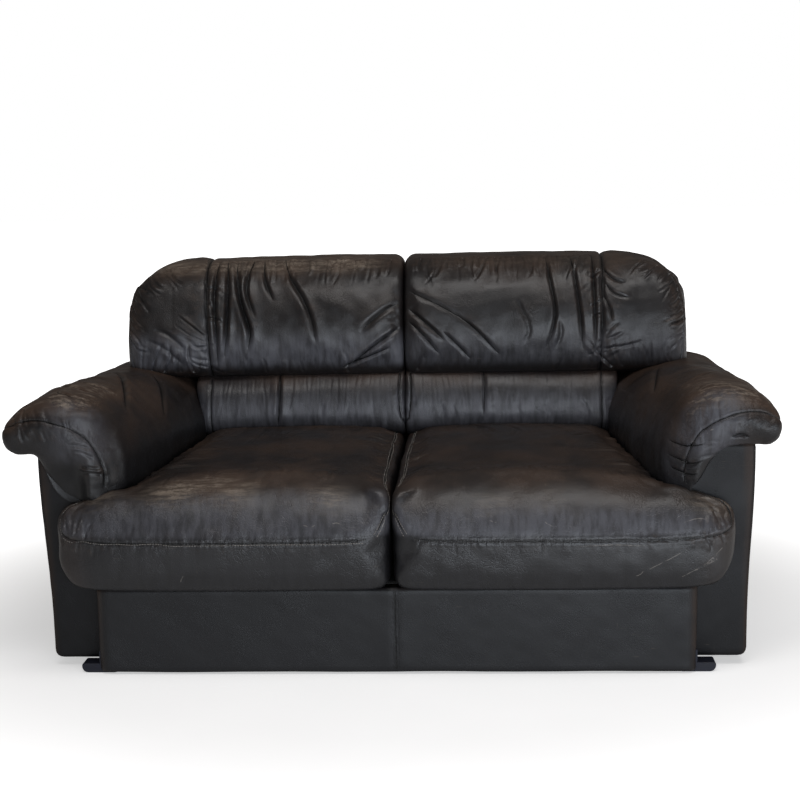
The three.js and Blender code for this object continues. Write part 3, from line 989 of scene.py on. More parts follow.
@dataclass(frozen=True)
class Leather:
    """Black leather, rubbed brown with use, with a painted grey sheen and painted shade in creases.
    """

    name: str
    effects: SharedEffects
    black: Colour = (0.0080, 0.0078, 0.0086, 1)
    brown: Colour = (0.052, 0.032, 0.022, 1)
    bare: Colour = (0.23, 0.185, 0.145, 1)
    # Painted sheen colour: the bluish grey of front light reflected off black leather.
    bloom: Colour = (0.060, 0.060, 0.069, 1)
    roughness: float = 0.36
    crackle: float = 0.20
    softness: float = 0.45
    grain: float = 0.16
    shine: float = 0.5

    def material(self) -> Material:
        """Builds the material."""
        made, n = Nodes.of_material(self.name)
        where = n.place()
        grain = n.group(self.effects.grain, Vector=where)
        net = n.group(self.effects.crackle, Vector=where, Cells=74.0)
        small = n.group(self.effects.crackle, Vector=where, Cells=230.0, Width=0.16)
        normal = n.add("ShaderNodeNewGeometry").outputs["Normal"]
        parts = n.add("ShaderNodeSeparateXYZ")
        n.feed(parts.inputs[0], normal)
        up = n.ramp(parts.outputs["Z"], 0.1, 0.95)
        wear = n.mark("wear")
        relief = n.mark("relief")
        rub = n.group(
            self.effects.rub, Vector=where, Wear=wear, Bare=n.mark("bare"), Relief=relief, Up=up)
        scuff = n.group(self.effects.scuff, Vector=where, Amount=0.5)
        # Painted sheen: where the pieces mark it, broken into streaks, a bluish grey stands in for
        # reflected front light.
        streaks = n.noise(n.stretched(where, (1.0, 0.5, 0.16)), 75.0, 5.0, 0.6)
        cloudy = n.ramp(streaks, 0.32, 0.66, (0.45, 1.15))
        bloom = n.product(n.mark("haze"), cloudy)
        colour = n.mix(rub.outputs["Brown"], self.black, self.brown)
        colour = n.mix(bloom, colour, self.bloom)
        colour = n.mix(n.product(rub.outputs["Bare"], 0.8), colour, self.bare)
        colour = n.mix(n.product(scuff.outputs["Mask"], 0.25), colour, self.bare)
        lines = n.product(net.outputs["Line"], n.product(wear, 0.5))
        colour = n.mix(lines, colour, (0.006, 0.005, 0.005, 1))
        # Painted shade: fold valleys are darkened towards near black, where shade falls in them.
        valley = n.ramp(relief, -0.9, -0.1, (0.6, 0.0))
        colour = n.mix(valley, colour, (0.003, 0.003, 0.003, 1))
        sewn = self.line(n, Line.SEAM, 0.0007, 0.0020)
        creased = self.line(n, Line.CREASE, 0.0002, 0.0022)
        scratched = self.line(n, Line.SCRATCH, 0.0002, 0.0012)
        broken = n.ramp(n.noise(where, 75.0, 4.0), 0.36, 0.60)
        scratched = n.product(scratched, broken)
        # Seams turn near black as dark sewn joints; sharp creases get the same near black as
        # painted shade in the fold.
        colour = n.mix(n.math("MAXIMUM", sewn, creased), colour, (0.002, 0.002, 0.002, 1))
        colour = n.mix(n.product(scratched, 0.45), colour, (0.30, 0.27, 0.24, 1))
        rough = n.plus(self.roughness - 0.08, n.noise(where, 9.0, 4.0), 0.16)
        rough = n.plus(rough, rub.outputs["Brown"], 0.12)
        rough = n.plus(rough, bloom, 0.06)
        rough = n.plus(rough, scuff.outputs["Spots"], 0.10, clamp=True)
        height = n.product(net.outputs["Height"], self.crackle)
        height = n.plus(height, small.outputs["Height"], 0.12)
        soft = n.noise(n.stretched(where, (1.0, 1.0, 0.7)), 38.0, 6.0, 0.6)
        height = n.plus(height, soft, self.softness)
        height = n.plus(height, grain.outputs["Height"], self.grain)
        gathered = n.ramp(n.mark(Line.SEAM.value), 0.001, 0.014, (1.6, 0.0))
        tucks = n.noise(n.stretched(where, (1.0, 1.0, 0.35)), 150.0, 2.0)
        height = n.plus(height, gathered, tucks)
        height = n.math("SUBTRACT", height, creased)
        height = n.math("SUBTRACT", height, sewn)
        n.surface(
            Base_Color=colour, Roughness=rough, Normal=n.relief(height, 0.55, 0.0022),
            Specular_IOR_Level=self.shine, IOR=1.5)
        return made

    @staticmethod
    def line(n: Nodes, kind: Line, inner: float, outer: float) -> Socket:
        """A thin line's mask, from the distances stored on the skin.

        Args:
            n: The material's nodes.
            kind: The kind of line.
            inner: Half the width of its full core.
            outer: Half the width over its soft edges.

        Returns:
            The mask, 0 to 1.
        """
        core = n.ramp(n.math("ABSOLUTE", n.mark(f"{kind.value}_side")), inner, outer, (1.0, 0.0))
        return n.product(core, n.ramp(n.mark(kind.value), 0.006, 0.012, (1.0, 0.0)))


@dataclass(frozen=True)
class Plain:
    """A plain finish with fine colour variation: thread, plastic, oiled wire or cloth."""

    name: str
    colour: Colour
    second: Colour
    scale: float = 60.0
    stretch: Point3 = (1.0, 1.0, 1.0)
    roughness: float = 0.6
    metallic: float = 0.0
    bump: float = 0.0002
    weave: float = 0.0
    glow: float = 0.0

    def material(self) -> Material:
        """Builds the material."""
        made, n = Nodes.of_material(self.name)
        where = n.stretched(n.place(), self.stretch)
        value = n.noise(where, self.scale, 5.0, 0.6)
        colour = n.mix(n.ramp(value, 0.3, 0.7), self.colour, self.second)
        height = value
        if self.weave:
            waves = []
            for axis in ("X", "Y", "Z"):
                wave = n.add("ShaderNodeTexWave", bands_direction=axis)
                n.fill(wave, Vector=n.place(), Scale=self.weave)
                waves.append(wave.outputs["Fac"])
            cross = n.product(n.math("ADD", waves[0], waves[1]), waves[2])
            height = n.plus(cross, value, 0.5)
        rough = n.ramp(value, 0.2, 0.8, (self.roughness - 0.08, self.roughness + 0.08))
        n.surface(
            Base_Color=colour, Roughness=rough, Normal=n.relief(height, 0.6, self.bump),
            Metallic=self.metallic, Emission_Color=(1, 1, 1, 1), Emission_Strength=self.glow)
        return made


class Wardrobe:
    """Every material of the sofa, made once."""

    def __init__(self) -> None:
        """Builds the materials."""
        effects = SharedEffects()
        self.soft = Leather("soft_worn_leather", effects).material()
        self.arm = Leather("arm_worn_leather", effects, shine=0.38).material()
        # The back's leather gets a brighter painted sheen.
        self.smooth = Leather(
            "smooth_worn_leather", effects, crackle=0.06, softness=0.28, roughness=0.34,
            bloom=(0.082, 0.083, 0.095, 1), shine=0.45,
        ).material()
        self.board = Leather(
            "board_leather", effects, roughness=0.48, crackle=0.02, softness=0.25, grain=0.06,
            shine=0.43, black=(0.0066, 0.0070, 0.0086, 1),
        ).material()
        self.panel = Leather(
            "arm_board_leather", effects, roughness=0.48, crackle=0.02, softness=0.25, grain=0.06,
            shine=0.27, black=(0.0066, 0.0066, 0.0076, 1),
        ).material()
        self.thread = Plain(
            "dark_thread", (0.018, 0.017, 0.018, 1), (0.045, 0.042, 0.04, 1), 900.0).material()
        self.pale_thread = Plain(
            "worn_thread", (0.14, 0.13, 0.12, 1), (0.34, 0.31, 0.28, 1), 90.0,
            roughness=0.8).material()
        self.timber = Plain(
            "sawn_timber", (0.42, 0.27, 0.14, 1), (0.60, 0.43, 0.26, 1), 18.0,
            (1.0, 9.0, 9.0), 0.75, bump=0.0006).material()
        self.fibreboard = Plain(
            "fibreboard", (0.20, 0.13, 0.08, 1), (0.28, 0.19, 0.12, 1), 240.0,
            roughness=0.85).material()
        self.steel = Plain(
            "spring_wire", (0.22, 0.22, 0.23, 1), (0.34, 0.33, 0.31, 1), 120.0,
            roughness=0.38, metallic=1.0).material()
        self.webbing = Plain(
            "webbing", (0.24, 0.22, 0.19, 1), (0.34, 0.31, 0.27, 1), 90.0, roughness=0.9,
            bump=0.0004, weave=160.0).material()
        self.lining = Plain(
            "lining_cloth", (0.012, 0.014, 0.022, 1), (0.022, 0.025, 0.036, 1), 200.0,
            roughness=0.95, bump=0.0002, weave=300.0).material()
        self.deck = Plain(
            "deck_cloth", (0.020, 0.019, 0.018, 1), (0.034, 0.032, 0.030, 1), 120.0,
            roughness=0.95, bump=0.0002, weave=260.0).material()
        self.foot = Plain(
            "foot_plastic", (0.0035, 0.0045, 0.012, 1), (0.005, 0.0065, 0.018, 1), 40.0,
            roughness=0.6, bump=0.0003).material()


# ---- soft pieces ---------------------------------------------------------------------------------


@dataclass
class SoftPiece:
    """A stuffed leather piece that stands for one plain solid of the frame."""

    side: Side
    wardrobe: Wardrobe
    base: str = ""
    voxel: float = 0.006
    fill: float = 0.6
    triangles: int = 120_000
    uneven: float = 0.002

    @property
    def left(self) -> bool:
        """Whether it is on the left half."""
        return self.side is Side.LEFT

    @property
    def seed(self) -> int:
        """Seed of the piece's random details."""
        return len(self.base) * 10 + self.side.value

    def scratches(self) -> dict[Facing, list[tuple[Point2, ...]]]:
        """Thin scratches by the view that they are drawn on, with X outwards."""
        return {}

    def shape(self) -> Skin:
        """Builds the piece's plain form."""
        raise NotImplementedError

    def melt(self, *solids: Solid) -> Skin:
        """Melts solids that overlap, given for the right half, into one even skin."""
        verts, faces, base = [], [], 0
        for points, polygons in solids:
            verts.append(self.outwards(points))
            faces += [[base + index for index in polygon] for polygon in polygons]
            base += len(points)
        obj = new_object(self.side.named(self.base + "_leather"), np.vstack(verts), faces)
        modify(obj, "REMESH", mode="VOXEL", voxel_size=self.voxel)
        modify(obj, "SMOOTH", factor=0.5, iterations=8)
        bake(obj)
        return Skin(obj)

    def hold(self, points: Array) -> Array:
        """How firmly each point is held while the leather settles."""
        return np.full(len(points), 0.5)

    def excess(self) -> Point3:
        """Spare width of the leather along X, Y and Z."""
        return 0.03, 0.03, 0.03

    def seams(self) -> list[Seam]:
        """The piece's seams, for the right half."""
        return []

    def pale_seams(self) -> list[Seam]:
        """Seams whose thread is worn pale."""
        return []

    def folds(self) -> list[Fold]:
        """The piece's creases, with X outwards from the middle."""
        return []

    def wear(self, points: Array) -> Array:
        """How worn each point is; points have X outwards."""
        return np.zeros(len(points))

    def bare(self, points: Array) -> Array:
        """Where the finish is rubbed right off; points have X outwards."""
        return np.zeros(len(points))

    def haze(self, points: Array) -> Array:
        """Where a painted bluish-grey sheen stands in for reflected light; points have X outwards.
        """
        return np.zeros(len(points))

    def finish(self) -> Material:
        """The piece's leather."""
        return self.wardrobe.soft

    def outwards(self, points: Array) -> Array:
        """Points with X measured outwards from the middle."""
        return points * (self.side.value, 1, 1)

    def on_side(self, item: Fold | Seam) -> Fold | Seam:
        """A fold or seam moved to this half."""
        sign = self.side.value
        path = tuple((sign * place[0], *place[1:]) for place in item.path)
        return type(item)(**{**item.__dict__, "path": path})

    def build(self) -> None:
        """Builds, sews, creases and dresses the piece."""
        name = self.side.named(self.base)
        skin = self.shape()
        skin.settle(self.hold(self.outwards(skin.points)), self.excess())
        skin.refine()
        points = skin.points
        waves = Waves(0.15, self.seed).at(points) + 0.45 * Waves(0.055, self.seed + 9).at(points)
        loose = 1 - self.hold(self.outwards(points))
        skin.points = points + skin.normals * (self.uneven * waves * loose)[:, None]
        dark = skin.sew([self.on_side(seam) for seam in self.seams()])
        pale = skin.sew([self.on_side(seam) for seam in self.pale_seams()])
        skin.press([self.on_side(fold) for fold in self.folds()])
        sign = self.side.value
        for facing, paths in self.scratches().items():
            skin.scratch([[(sign * a, b) for a, b in path] for path in paths], facing)
        places = self.outwards(skin.points)
        skin.finish(wear=self.wear(places), bare=self.bare(places), haze=self.haze(places))
        skin.thin(self.triangles)
        skin.obj.data.materials.append(self.finish())
        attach(skin.obj, "root")
        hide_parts(name)
        LOG.info("%s: %d faces", skin.obj.name, len(skin.obj.data.polygons))
        stitch = Topstitch()
        for suffix, lines, thread in (
            ("stitching", dark, self.wardrobe.thread),
            ("worn_stitching", pale, self.wardrobe.pale_thread),
        ):
            sewn = stitch.lay(f"{name}_{suffix}", skin.rows_beside(lines), thread)
            if sewn is not None:
                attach(sewn, "root")
                LOG.info("%s: %d faces", sewn.name, len(sewn.data.polygons))


@dataclass
class Headrest(SoftPiece):
    """A pad that rolls over the top of the back, with an outer wing sewn on by a gathered seam."""

    base: str = "headrest"
    voxel: float = 0.0058
    triangles: int = 118_000
    uneven: float = 0.0016
    seam_u: float = 0.502
    inner: float = 0.0012
    outer: float = 0.717

    def shape(self) -> Skin:
        """A side profile stacked along X, crowned on each side of the gathered seam."""
        profile = spline([
            (0.222, 0.577), (0.200, 0.596), (0.189, 0.640), (0.188, 0.700), (0.199, 0.765),
            (0.222, 0.820), (0.256, 0.855), (0.300, 0.872), (0.350, 0.876), (0.400, 0.869),
            (0.438, 0.850), (0.457, 0.815), (0.459, 0.780), (0.448, 0.757), (0.420, 0.752),
            (0.360, 0.752), (0.336, 0.735), (0.333, 0.680), (0.333, 0.620), (0.322, 0.586),
            (0.270, 0.572),
        ], 0.008, closed=True)
        solid = stack(
            profile, self.inner, self.outer, by_normal(0.014, 0.024, 0.013),
            by_normal(0.030, 0.150, 0.055),
            Stack.ALONG_X,
        )
        skin = self.melt(solid)
        points = skin.points
        u = points[:, 0] * self.side.value
        front = np.clip(-skin.normals[:, 1], 0, 1) + 0.35 * np.clip(skin.normals[:, 2], 0, 1)
        main = dome(u, 0.255, 0.26)
        wing = dome(u, 0.61, 0.10)
        lower = bell(points[:, 2], 0.66, 0.09)
        points = points + skin.normals * (
            front * (0.006 * main * lower + 0.010 * wing * lower))[:, None]
        drop = 0.004 if self.left else 0.006
        beyond = smoothstep(self.seam_u - 0.02, self.seam_u + 0.02, u) * smoothstep(0.68, 0.58, u)
        before = bell(u - self.seam_u, -0.015, 0.035)
        lower_by = np.maximum(drop * beyond, 0.005 * before)
        points[:, 2] -= lower_by * smoothstep(0.80, 0.86, points[:, 2])
        skin.points = points
        return skin

    def finish(self) -> Material:
        """The smoother leather of the back."""
        return self.wardrobe.smooth

    def hold(self, points: Array) -> Array:
        """Free on the front and top, held at the seam and behind."""
        u, y, z = points.T
        seam = bell(u, self.seam_u, 0.02)
        behind = smoothstep(0.34, 0.42, y)
        low = smoothstep(0.60, 0.58, z)
        return np.clip(0.15 + 0.8 * seam + 0.6 * behind + 0.5 * low, 0, 1)

    def excess(self) -> Point3:
        """Gathered along X most of all."""
        return 0.09, 0.02, 0.04

    def seams(self) -> list[Seam]:
        """The gathered seam and the wing's edge seam."""
        u = self.seam_u
        gathered = (
            (u + 0.005, 0.440, 0.845), (u + 0.005, 0.38, 0.876), (u + 0.005, 0.31, 0.876),
            (u + 0.004, 0.25, 0.852), (u + 0.002, 0.21, 0.80), (u - 0.001, 0.189, 0.70),
            (u - 0.004, 0.195, 0.61), (u - 0.006, 0.222, 0.577),
        )
        edge = (
            (0.688, 0.215, 0.590), (0.703, 0.205, 0.640), (0.704, 0.210, 0.700),
            (0.696, 0.225, 0.765), (0.672, 0.255, 0.823), (0.630, 0.290, 0.858),
            (0.560, 0.330, 0.876), (u + 0.012, 0.350, 0.877),
        )
        return [
            Seam(gathered, 0.0065, 0.006, 0.003, 0.020, (0.006, -0.006)),
            Seam(edge, 0.003, 0.0035, 0.002, 0.012, ()),
        ]

    def folds(self) -> list[Fold]:
        """Gathers along the edges, and each side's own long folds."""
        u = self.seam_u
        made = gathers(11 if self.left else 29, [
            ([(0.03, 0.864), (0.48, 0.866)], (0, -1), 34, (0.015, 0.060), 0.0022, 0.0055),
            ([(0.02, 0.592), (0.48, 0.592)], (0.1, 1), 9, (0.02, 0.05), 0.0013),
            ([(u + 0.008, 0.70), (u + 0.008, 0.60)], (1, 0.5), 6, (0.03, 0.09), 0.0016),
            ([(u - 0.008, 0.84), (u - 0.008, 0.60)], (-1, -0.8), 5, (0.015, 0.04), 0.0020),
            ([(0.702, 0.66), (0.698, 0.77), (0.67, 0.82), (0.60, 0.857)], (-0.75, -0.55), 20,
             (0.02, 0.065), 0.0022),
            ([(0.52, 0.595), (0.69, 0.60)], (-0.2, 1), 8, (0.03, 0.08), 0.0026),
        ])
        if self.left:
            return made + creases([
                ((0.310, 0.873), (0.286, 0.824), (0.254, 0.773), (0.233, 0.722), (0.222, 0.660),
                 0.012, 0.0055),
                ((0.478, 0.870), (0.482, 0.780), (0.478, 0.66), (0.48, 0.60), 0.010, 0.008),
                ((0.455, 0.872), (0.448, 0.80), (0.452, 0.70), (0.46, 0.62), 0.010, 0.008),
                ((0.430, 0.868), (0.416, 0.776), (0.393, 0.699), (0.40, 0.64), 0.012, 0.009),
                ((0.387, 0.872), (0.400, 0.801), (0.377, 0.729), 0.010, 0.007),
                ((0.360, 0.868), (0.352, 0.820), (0.330, 0.770), 0.010, 0.005),
                ((0.009, 0.700), (0.074, 0.655), (0.139, 0.604), 0.010, 0.006),
                ((0.035, 0.650), (0.100, 0.624), (0.165, 0.597), 0.009, 0.005),
                ((0.012, 0.760), (0.060, 0.735), (0.110, 0.690), 0.014, 0.004),
            ]) + creases([
                ((0.640, 0.705), (0.600, 0.690), (0.548, 0.640), 0.012, 0.003),
                ((0.660, 0.680), (0.610, 0.655), (0.560, 0.605), 0.011, 0.003),
            ], sharp=False)
        return made + [
            Fold(((0.010, 0.748), (0.055, 0.712), (0.105, 0.665)), 0.011, 0.004),
            Fold(((0.012, 0.715), (0.050, 0.680), (0.090, 0.630)), 0.010, 0.0034),
            Fold(((0.014, 0.790), (0.080, 0.760), (0.150, 0.720)), 0.014, 0.0020, lean=0.5),
            Fold(((0.130, 0.735), (0.185, 0.690), (0.244, 0.625)), 0.011, 0.0028, lean=0.6),
            Fold(((0.100, 0.690), (0.135, 0.655), (0.170, 0.615)), 0.010, 0.003, lean=0.4),
            Fold(((0.290, 0.765), (0.302, 0.735), (0.322, 0.705)), 0.011, 0.0022, sharp=False),
            Fold(((0.306, 0.722), (0.318, 0.690), (0.306, 0.655)), 0.012, 0.0020, sharp=False),
            Fold(((0.362, 0.868), (0.374, 0.800), (0.384, 0.735), (0.372, 0.672), (0.360, 0.640)),
                 0.009, 0.0045, lean=0.4),
            Fold(((0.392, 0.720), (0.398, 0.680), (0.384, 0.640)), 0.010, 0.0022, sharp=False),
            Fold(((0.425, 0.868), (0.440, 0.780), (0.448, 0.700), (0.452, 0.634)), 0.010, 0.005,
                 lean=0.5),
            Fold(((0.480, 0.870), (0.482, 0.78), (0.486, 0.63)), 0.009, 0.006),
            Fold(((0.505, 0.835), (0.530, 0.812), (0.562, 0.800)), 0.009, 0.0034, lean=0.5),
            Fold(((0.509, 0.800), (0.535, 0.775), (0.570, 0.765)), 0.009, 0.0026, lean=0.5),
            Fold(((0.505, 0.770), (0.520, 0.740), (0.525, 0.710)), 0.009, 0.0026),
            Fold(((0.070, 0.868), (0.060, 0.840), (0.075, 0.800)), 0.009, 0.0022, sharp=False),
        ]

    def wear(self, points: Array) -> Array:
        """Browner along the top edge and the wing's outer edge, more on the left half."""
        u, _, z = points.T
        # Partly rubbed wear, partly painted light from above on the top edge.
        much = 1.0 if self.left else 0.25
        top = smoothstep(0.815, 0.865, z)
        edge = bell(u, 0.70, 0.022) * 0.5
        return much * (0.85 * top + edge) + 0.08

    def bare(self, points: Array) -> Array:
        """Pale on the puckers of the top edge, more on the left half."""
        u, y, z = points.T
        # Partly rubbed-through finish, partly painted highlights on the pucker ridges.
        much = 0.75 if self.left else 0.12
        edge = bell(z, 0.858, 0.016) * smoothstep(0.02, 0.12, u)
        return much * edge * smoothstep(0.36, 0.30, y)

    def haze(self, points: Array) -> Array:
        """Painted sheen: front light reflected on the fullest, lower part of the front, more on the
        left.
        """
        much = 0.95 if self.left else 0.50
        return much * smoothstep(0.71, 0.65, points[:, 2]) * smoothstep(0.59, 0.62, points[:, 2])


@dataclass
class LumbarPad(SoftPiece):
    """A narrow roll under the headrest, gathered along its top and bottom."""

    base: str = "lumbar_pad"
    voxel: float = 0.0052
    triangles: int = 56_000
    uneven: float = 0.0012
    outer: float = 0.522

    def shape(self) -> Skin:
        """A rounded profile stacked along X."""
        profile = spline([
            (0.232, 0.416), (0.200, 0.424), (0.183, 0.444), (0.181, 0.474), (0.189, 0.515),
            (0.203, 0.556), (0.228, 0.588), (0.280, 0.602), (0.330, 0.600), (0.333, 0.510),
            (0.330, 0.426), (0.280, 0.422),
        ], 0.007, closed=True)
        solid = stack(profile, 0.001, self.outer, even(0.008), even(0.012), Stack.ALONG_X)
        skin = self.melt(solid)
        points = skin.points
        u, _, z = self.outwards(points).T
        sag = 0.014 if self.left else 0.004
        points[:, 2] -= sag * smoothstep(0.20, 0.50, u) * smoothstep(0.52, 0.60, z)
        reach = 0.020 * smoothstep(0.45, 0.57, z) * smoothstep(0.47, 0.522, u)
        points[:, 0] += self.side.value * reach
        skin.points = points
        return skin

    def finish(self) -> Material:
        """The smoother leather of the back."""
        return self.wardrobe.smooth

    def hold(self, points: Array) -> Array:
        """Free on the front only."""
        return np.clip(0.2 + smoothstep(0.24, 0.29, points[:, 1]), 0, 1)

    def excess(self) -> Point3:
        """Gathered along X."""
        return 0.08, 0.01, 0.01

    def seams(self) -> list[Seam]:
        """A seam near each end."""
        rises = [(0.225, 0.432), (0.195, 0.455), (0.184, 0.505), (0.192, 0.560), (0.215, 0.590)]
        return [
            Seam(tuple((u, *rise) for rise in rises), 0.003, 0.0035, 0.0015, 0.012, (way * 0.005,))
            for u, way in ((0.500, 1), (0.012, -1))
        ]

    def folds(self) -> list[Fold]:
        """Dense puckers along the top and bottom."""
        made = gathers(41 if self.left else 53, [
            ([(0.02, 0.585), (0.495, 0.585)], (0.06, -1), 38, (0.03, 0.12), 0.00045, 0.0042,
             Facing.FRONT, 0.07),
            ([(0.02, 0.435), (0.495, 0.435)], (0, 1), 12, (0.015, 0.040), 0.0006, 0.006,
             Facing.FRONT, 0.12),
            ([(0.04, 0.50), (0.48, 0.50)], (0.1, -1), 6, (0.03, 0.07), 0.0007, 0.012,
             Facing.FRONT, 0.1),
        ])
        if self.left:
            long = ((0.324, 0.590), (0.322, 0.520), (0.328, 0.445), 0.010, 0.006)
        else:
            long = ((0.20, 0.590), (0.204, 0.540), (0.200, 0.47), 0.010, 0.003)
        return made + creases([long])

    def wear(self, points: Array) -> Array:
        """Browner near the top."""
        # Partly rubbed wear, partly painted warm light from above.
        return 0.6 * smoothstep(0.53, 0.58, points[:, 2])

    def haze(self, points: Array) -> Array:
        """Painted sheen: front light reflected along the fullest part of the front, more on the
        right.
        """
        much = 0.85 if self.left else 1.0
        return much * (0.12 + bell(points[:, 2], 0.488, 0.040))


@dataclass
class SeatCushion(SoftPiece):
    """A T-shaped cushion with a big waterfall front and an ear in front of the arm."""

    base: str = "seat_cushion"
    voxel: float = 0.0072
    triangles: int = 122_000
    uneven: float = 0.0024
    fill: float = 0.7
    nose: tuple[Point3, ...] = (
        (0.12, -0.468, 0.312), (0.35, -0.470, 0.311), (0.58, -0.468, 0.312), (0.66, -0.462, 0.315),
        (0.705, -0.452, 0.320), (0.732, -0.435, 0.334), (0.733, -0.420, 0.358),
        (0.721, -0.408, 0.380), (0.698, -0.398, 0.394),
    )

    def shape(self) -> Skin:
        """The plan outline stacked upwards, then crowned."""
        plan = spline([
            (0.006, -0.436), (0.022, -0.453), (0.070, -0.461), (0.350, -0.465), (0.580, -0.461),
            (0.670, -0.455), (0.718, -0.440), (0.738, -0.412), (0.730, -0.384), (0.700, -0.369),
            (0.640, -0.366), (0.608, -0.360), (0.597, -0.335), (0.580, -0.220), (0.556, -0.070),
            (0.534, 0.070), (0.529, 0.200), (0.527, 0.300), (0.510, 0.326), (0.300, 0.330),
            (0.040, 0.329), (0.004, 0.315), (0.003, 0.200), (0.003, -0.100), (0.003, -0.380),
        ], 0.009, closed=True)

        def underside(normals: Array) -> Array:
            """Rounds the ear's lower corner most."""
            outwards = np.clip(normals[:, 0], 0, 1)
            return 0.026 + 0.018 * np.clip(-normals[:, 1], 0, 1) + 0.062 * outwards**2

        def upper(normals: Array) -> Array:
            """Rounds the nose most, and the side along the middle gap least."""
            to_gap, front = np.clip(-normals[:, 0], 0, 1), np.clip(-normals[:, 1], 0, 1)
            return 0.045 + 0.055 * front - 0.026 * to_gap - 0.008 * np.clip(normals[:, 1], 0, 1)

        solid = stack(plan, 0.198, 0.415, underside, upper, Stack.ALONG_Z)
        skin = self.melt(solid)
        points = skin.points
        u, y, z = self.outwards(points).T
        share = np.clip((z - 0.199) / 0.216, 0, 1)
        rise = 0.017 * smoothstep(-0.42, 0.10, y)
        across = dome(u, 0.27, 0.28)
        deep = dome(y, -0.02, 0.46)
        crown = 0.014 * across * (0.4 + 0.6 * deep)
        ear = -0.030 * smoothstep(0.60, 0.73, u) * smoothstep(-0.34, -0.38, y)
        nose = 0.012 * bell(y, -0.36, 0.07) * across
        lip = 0.010 * smoothstep(-0.424, -0.450, y) * (1 - share) ** 2
        points[:, 2] += share**1.5 * (rise + crown + ear + nose) - lip
        skin.points = points
        return skin

    def hold(self, points: Array) -> Array:
        """Held under and behind, half free above."""
        return np.clip(0.35 + smoothstep(0.23, 0.205, points[:, 2]), 0, 1)

    def excess(self) -> Point3:
        """A little slack leather."""
        return 0.018, 0.012, 0.01

    def seams(self) -> list[Seam]:
        """The seam along the nose and up round the ear."""
        front = ((0.040, -0.462, 0.318), *self.nose, (0.664, -0.390, 0.402))
        rows = () if self.left else (0.0045,)
        return [Seam(front, 0.0022, 0.0026, 0.0010, 0.014, rows)]

    def pale_seams(self) -> list[Seam]:
        """The seam along the middle gap, its thread worn pale."""
        gap = (
            (0.018, 0.290, 0.450), (0.017, 0.10, 0.450), (0.016, -0.10, 0.440),
            (0.017, -0.30, 0.420), (0.019, -0.395, 0.390), (0.022, -0.435, 0.350),
            (0.030, -0.457, 0.325),
        )
        front = ((0.060, -0.464, 0.3125), *self.nose)
        sewn = [Seam(gap, 0.003, 0.0035, 0.002, 0.012, (0.005, -0.004))]
        if self.left:
            sewn.append(Seam(front, 0.0, 0.003, 0.0, 0.012, (0.0040,)))
        return sewn

    def folds(self) -> list[Fold]:
        """Puckers at the seam and corners, soft creases on top."""
        top = Facing.TOP
        return gathers(67 if self.left else 83, [
            ([(0.05, 0.316), (0.66, 0.316)], (0.1, 1), 30, (0.008, 0.030), 0.0005, 0.005),
            ([(0.05, 0.307), (0.66, 0.307)], (0.1, -1), 30, (0.008, 0.025), 0.0005, 0.005),
            ([(0.66, 0.322), (0.725, 0.340)], (0.1, 1), 9, (0.015, 0.045), 0.0016, 0.005),
            ([(0.64, 0.305), (0.725, 0.315)], (0.0, -1), 7, (0.010, 0.03), 0.0014, 0.005),
            ([(0.03, 0.20), (0.03, -0.36)], (1, 0.1), 16, (0.02, 0.09), 0.0018, 0.008, top),
            ([(0.10, 0.16), (0.45, 0.16)], (0.25, -1), 12, (0.06, 0.20), 0.0016, 0.013, top),
            ([(0.52, 0.10), (0.58, -0.26)], (-1, -0.2), 9, (0.05, 0.14), 0.0022, 0.011, top),
            ([(0.08, -0.30), (0.62, -0.30)], (0.15, -1), 20, (0.03, 0.09), 0.0012, 0.009, top),
        ])

    def scratches(self) -> dict[Facing, list[tuple[Point2, ...]]]:
        """Scratches near the right end, and a few on the worn nose."""
        if self.left:
            return {Facing.FRONT: [
                ((0.458, 0.222), (0.455, 0.230), (0.449, 0.240)),
                ((0.10, 0.345), (0.112, 0.352), (0.125, 0.350)),
                ((0.16, 0.348), (0.172, 0.344), (0.19, 0.349)),
            ]}
        return {Facing.FRONT: [
            ((0.548, 0.247), (0.60, 0.274), (0.636, 0.293)),
            ((0.615, 0.227), (0.67, 0.258), (0.709, 0.292)),
            ((0.640, 0.240), (0.675, 0.256), (0.700, 0.268)),
            ((0.522, 0.232), (0.531, 0.236), (0.538, 0.245)),
            ((0.33, 0.352), (0.338, 0.345), (0.349, 0.342)),
            ((0.21, 0.356), (0.222, 0.350), (0.23, 0.352)),
            ((0.62, 0.345), (0.65, 0.352), (0.675, 0.350)),
            ((0.40, 0.300), (0.47, 0.303), (0.53, 0.300), (0.57, 0.303)),
        ]}

    def wear(self, points: Array) -> Array:
        """Worn on the crown of the nose, most at its middle."""
        u, y, z = points.T
        crown = bell(y, -0.375, 0.060) * smoothstep(0.36, 0.40, z)
        along = 0.6 + 0.4 * bell(u, 0.42, 0.16)
        top = 0.34 * smoothstep(0.40, 0.43, z)
        end = 0.3 * smoothstep(0.64, 0.72, u)
        much = 0.62 if self.left else 0.22
        return crown * along * much + top + end

    def bare(self, points: Array) -> Array:
        """Drawn pale patches on the nose's crown and on the ear."""
        u, y, z = points.T
        if self.left:
            spots = ((0.475, -0.398, 0.055, 1.3), (0.345, -0.402, 0.045, 0.8),
                     (0.13, -0.415, 0.040, 0.5), (0.64, -0.40, 0.04, 0.4))
        else:
            spots = ((0.22, -0.430, 0.050, 0.20), (0.36, -0.425, 0.04, 0.15),
                     (0.69, -0.41, 0.05, 0.5))
        total = np.zeros(len(points))
        for place, depth, size, amount in spots:
            total += amount * np.exp(-(((u - place) / size) ** 2) - ((y - depth) / 0.024) ** 2)
        return total * smoothstep(0.34, 0.37, z)

    def haze(self, points: Array) -> Array:
        """Painted sheen: light reflected above the nose's seam, fading into the crown, and faintly
        on the front.
        """
        _, y, z = points.T
        much, start = (0.66, -0.395) if self.left else (1.0, -0.420)
        nose = smoothstep(0.315, 0.332, z) * smoothstep(start, start - 0.04, y)
        return much * nose + 0.10 * smoothstep(-0.43, -0.45, y)


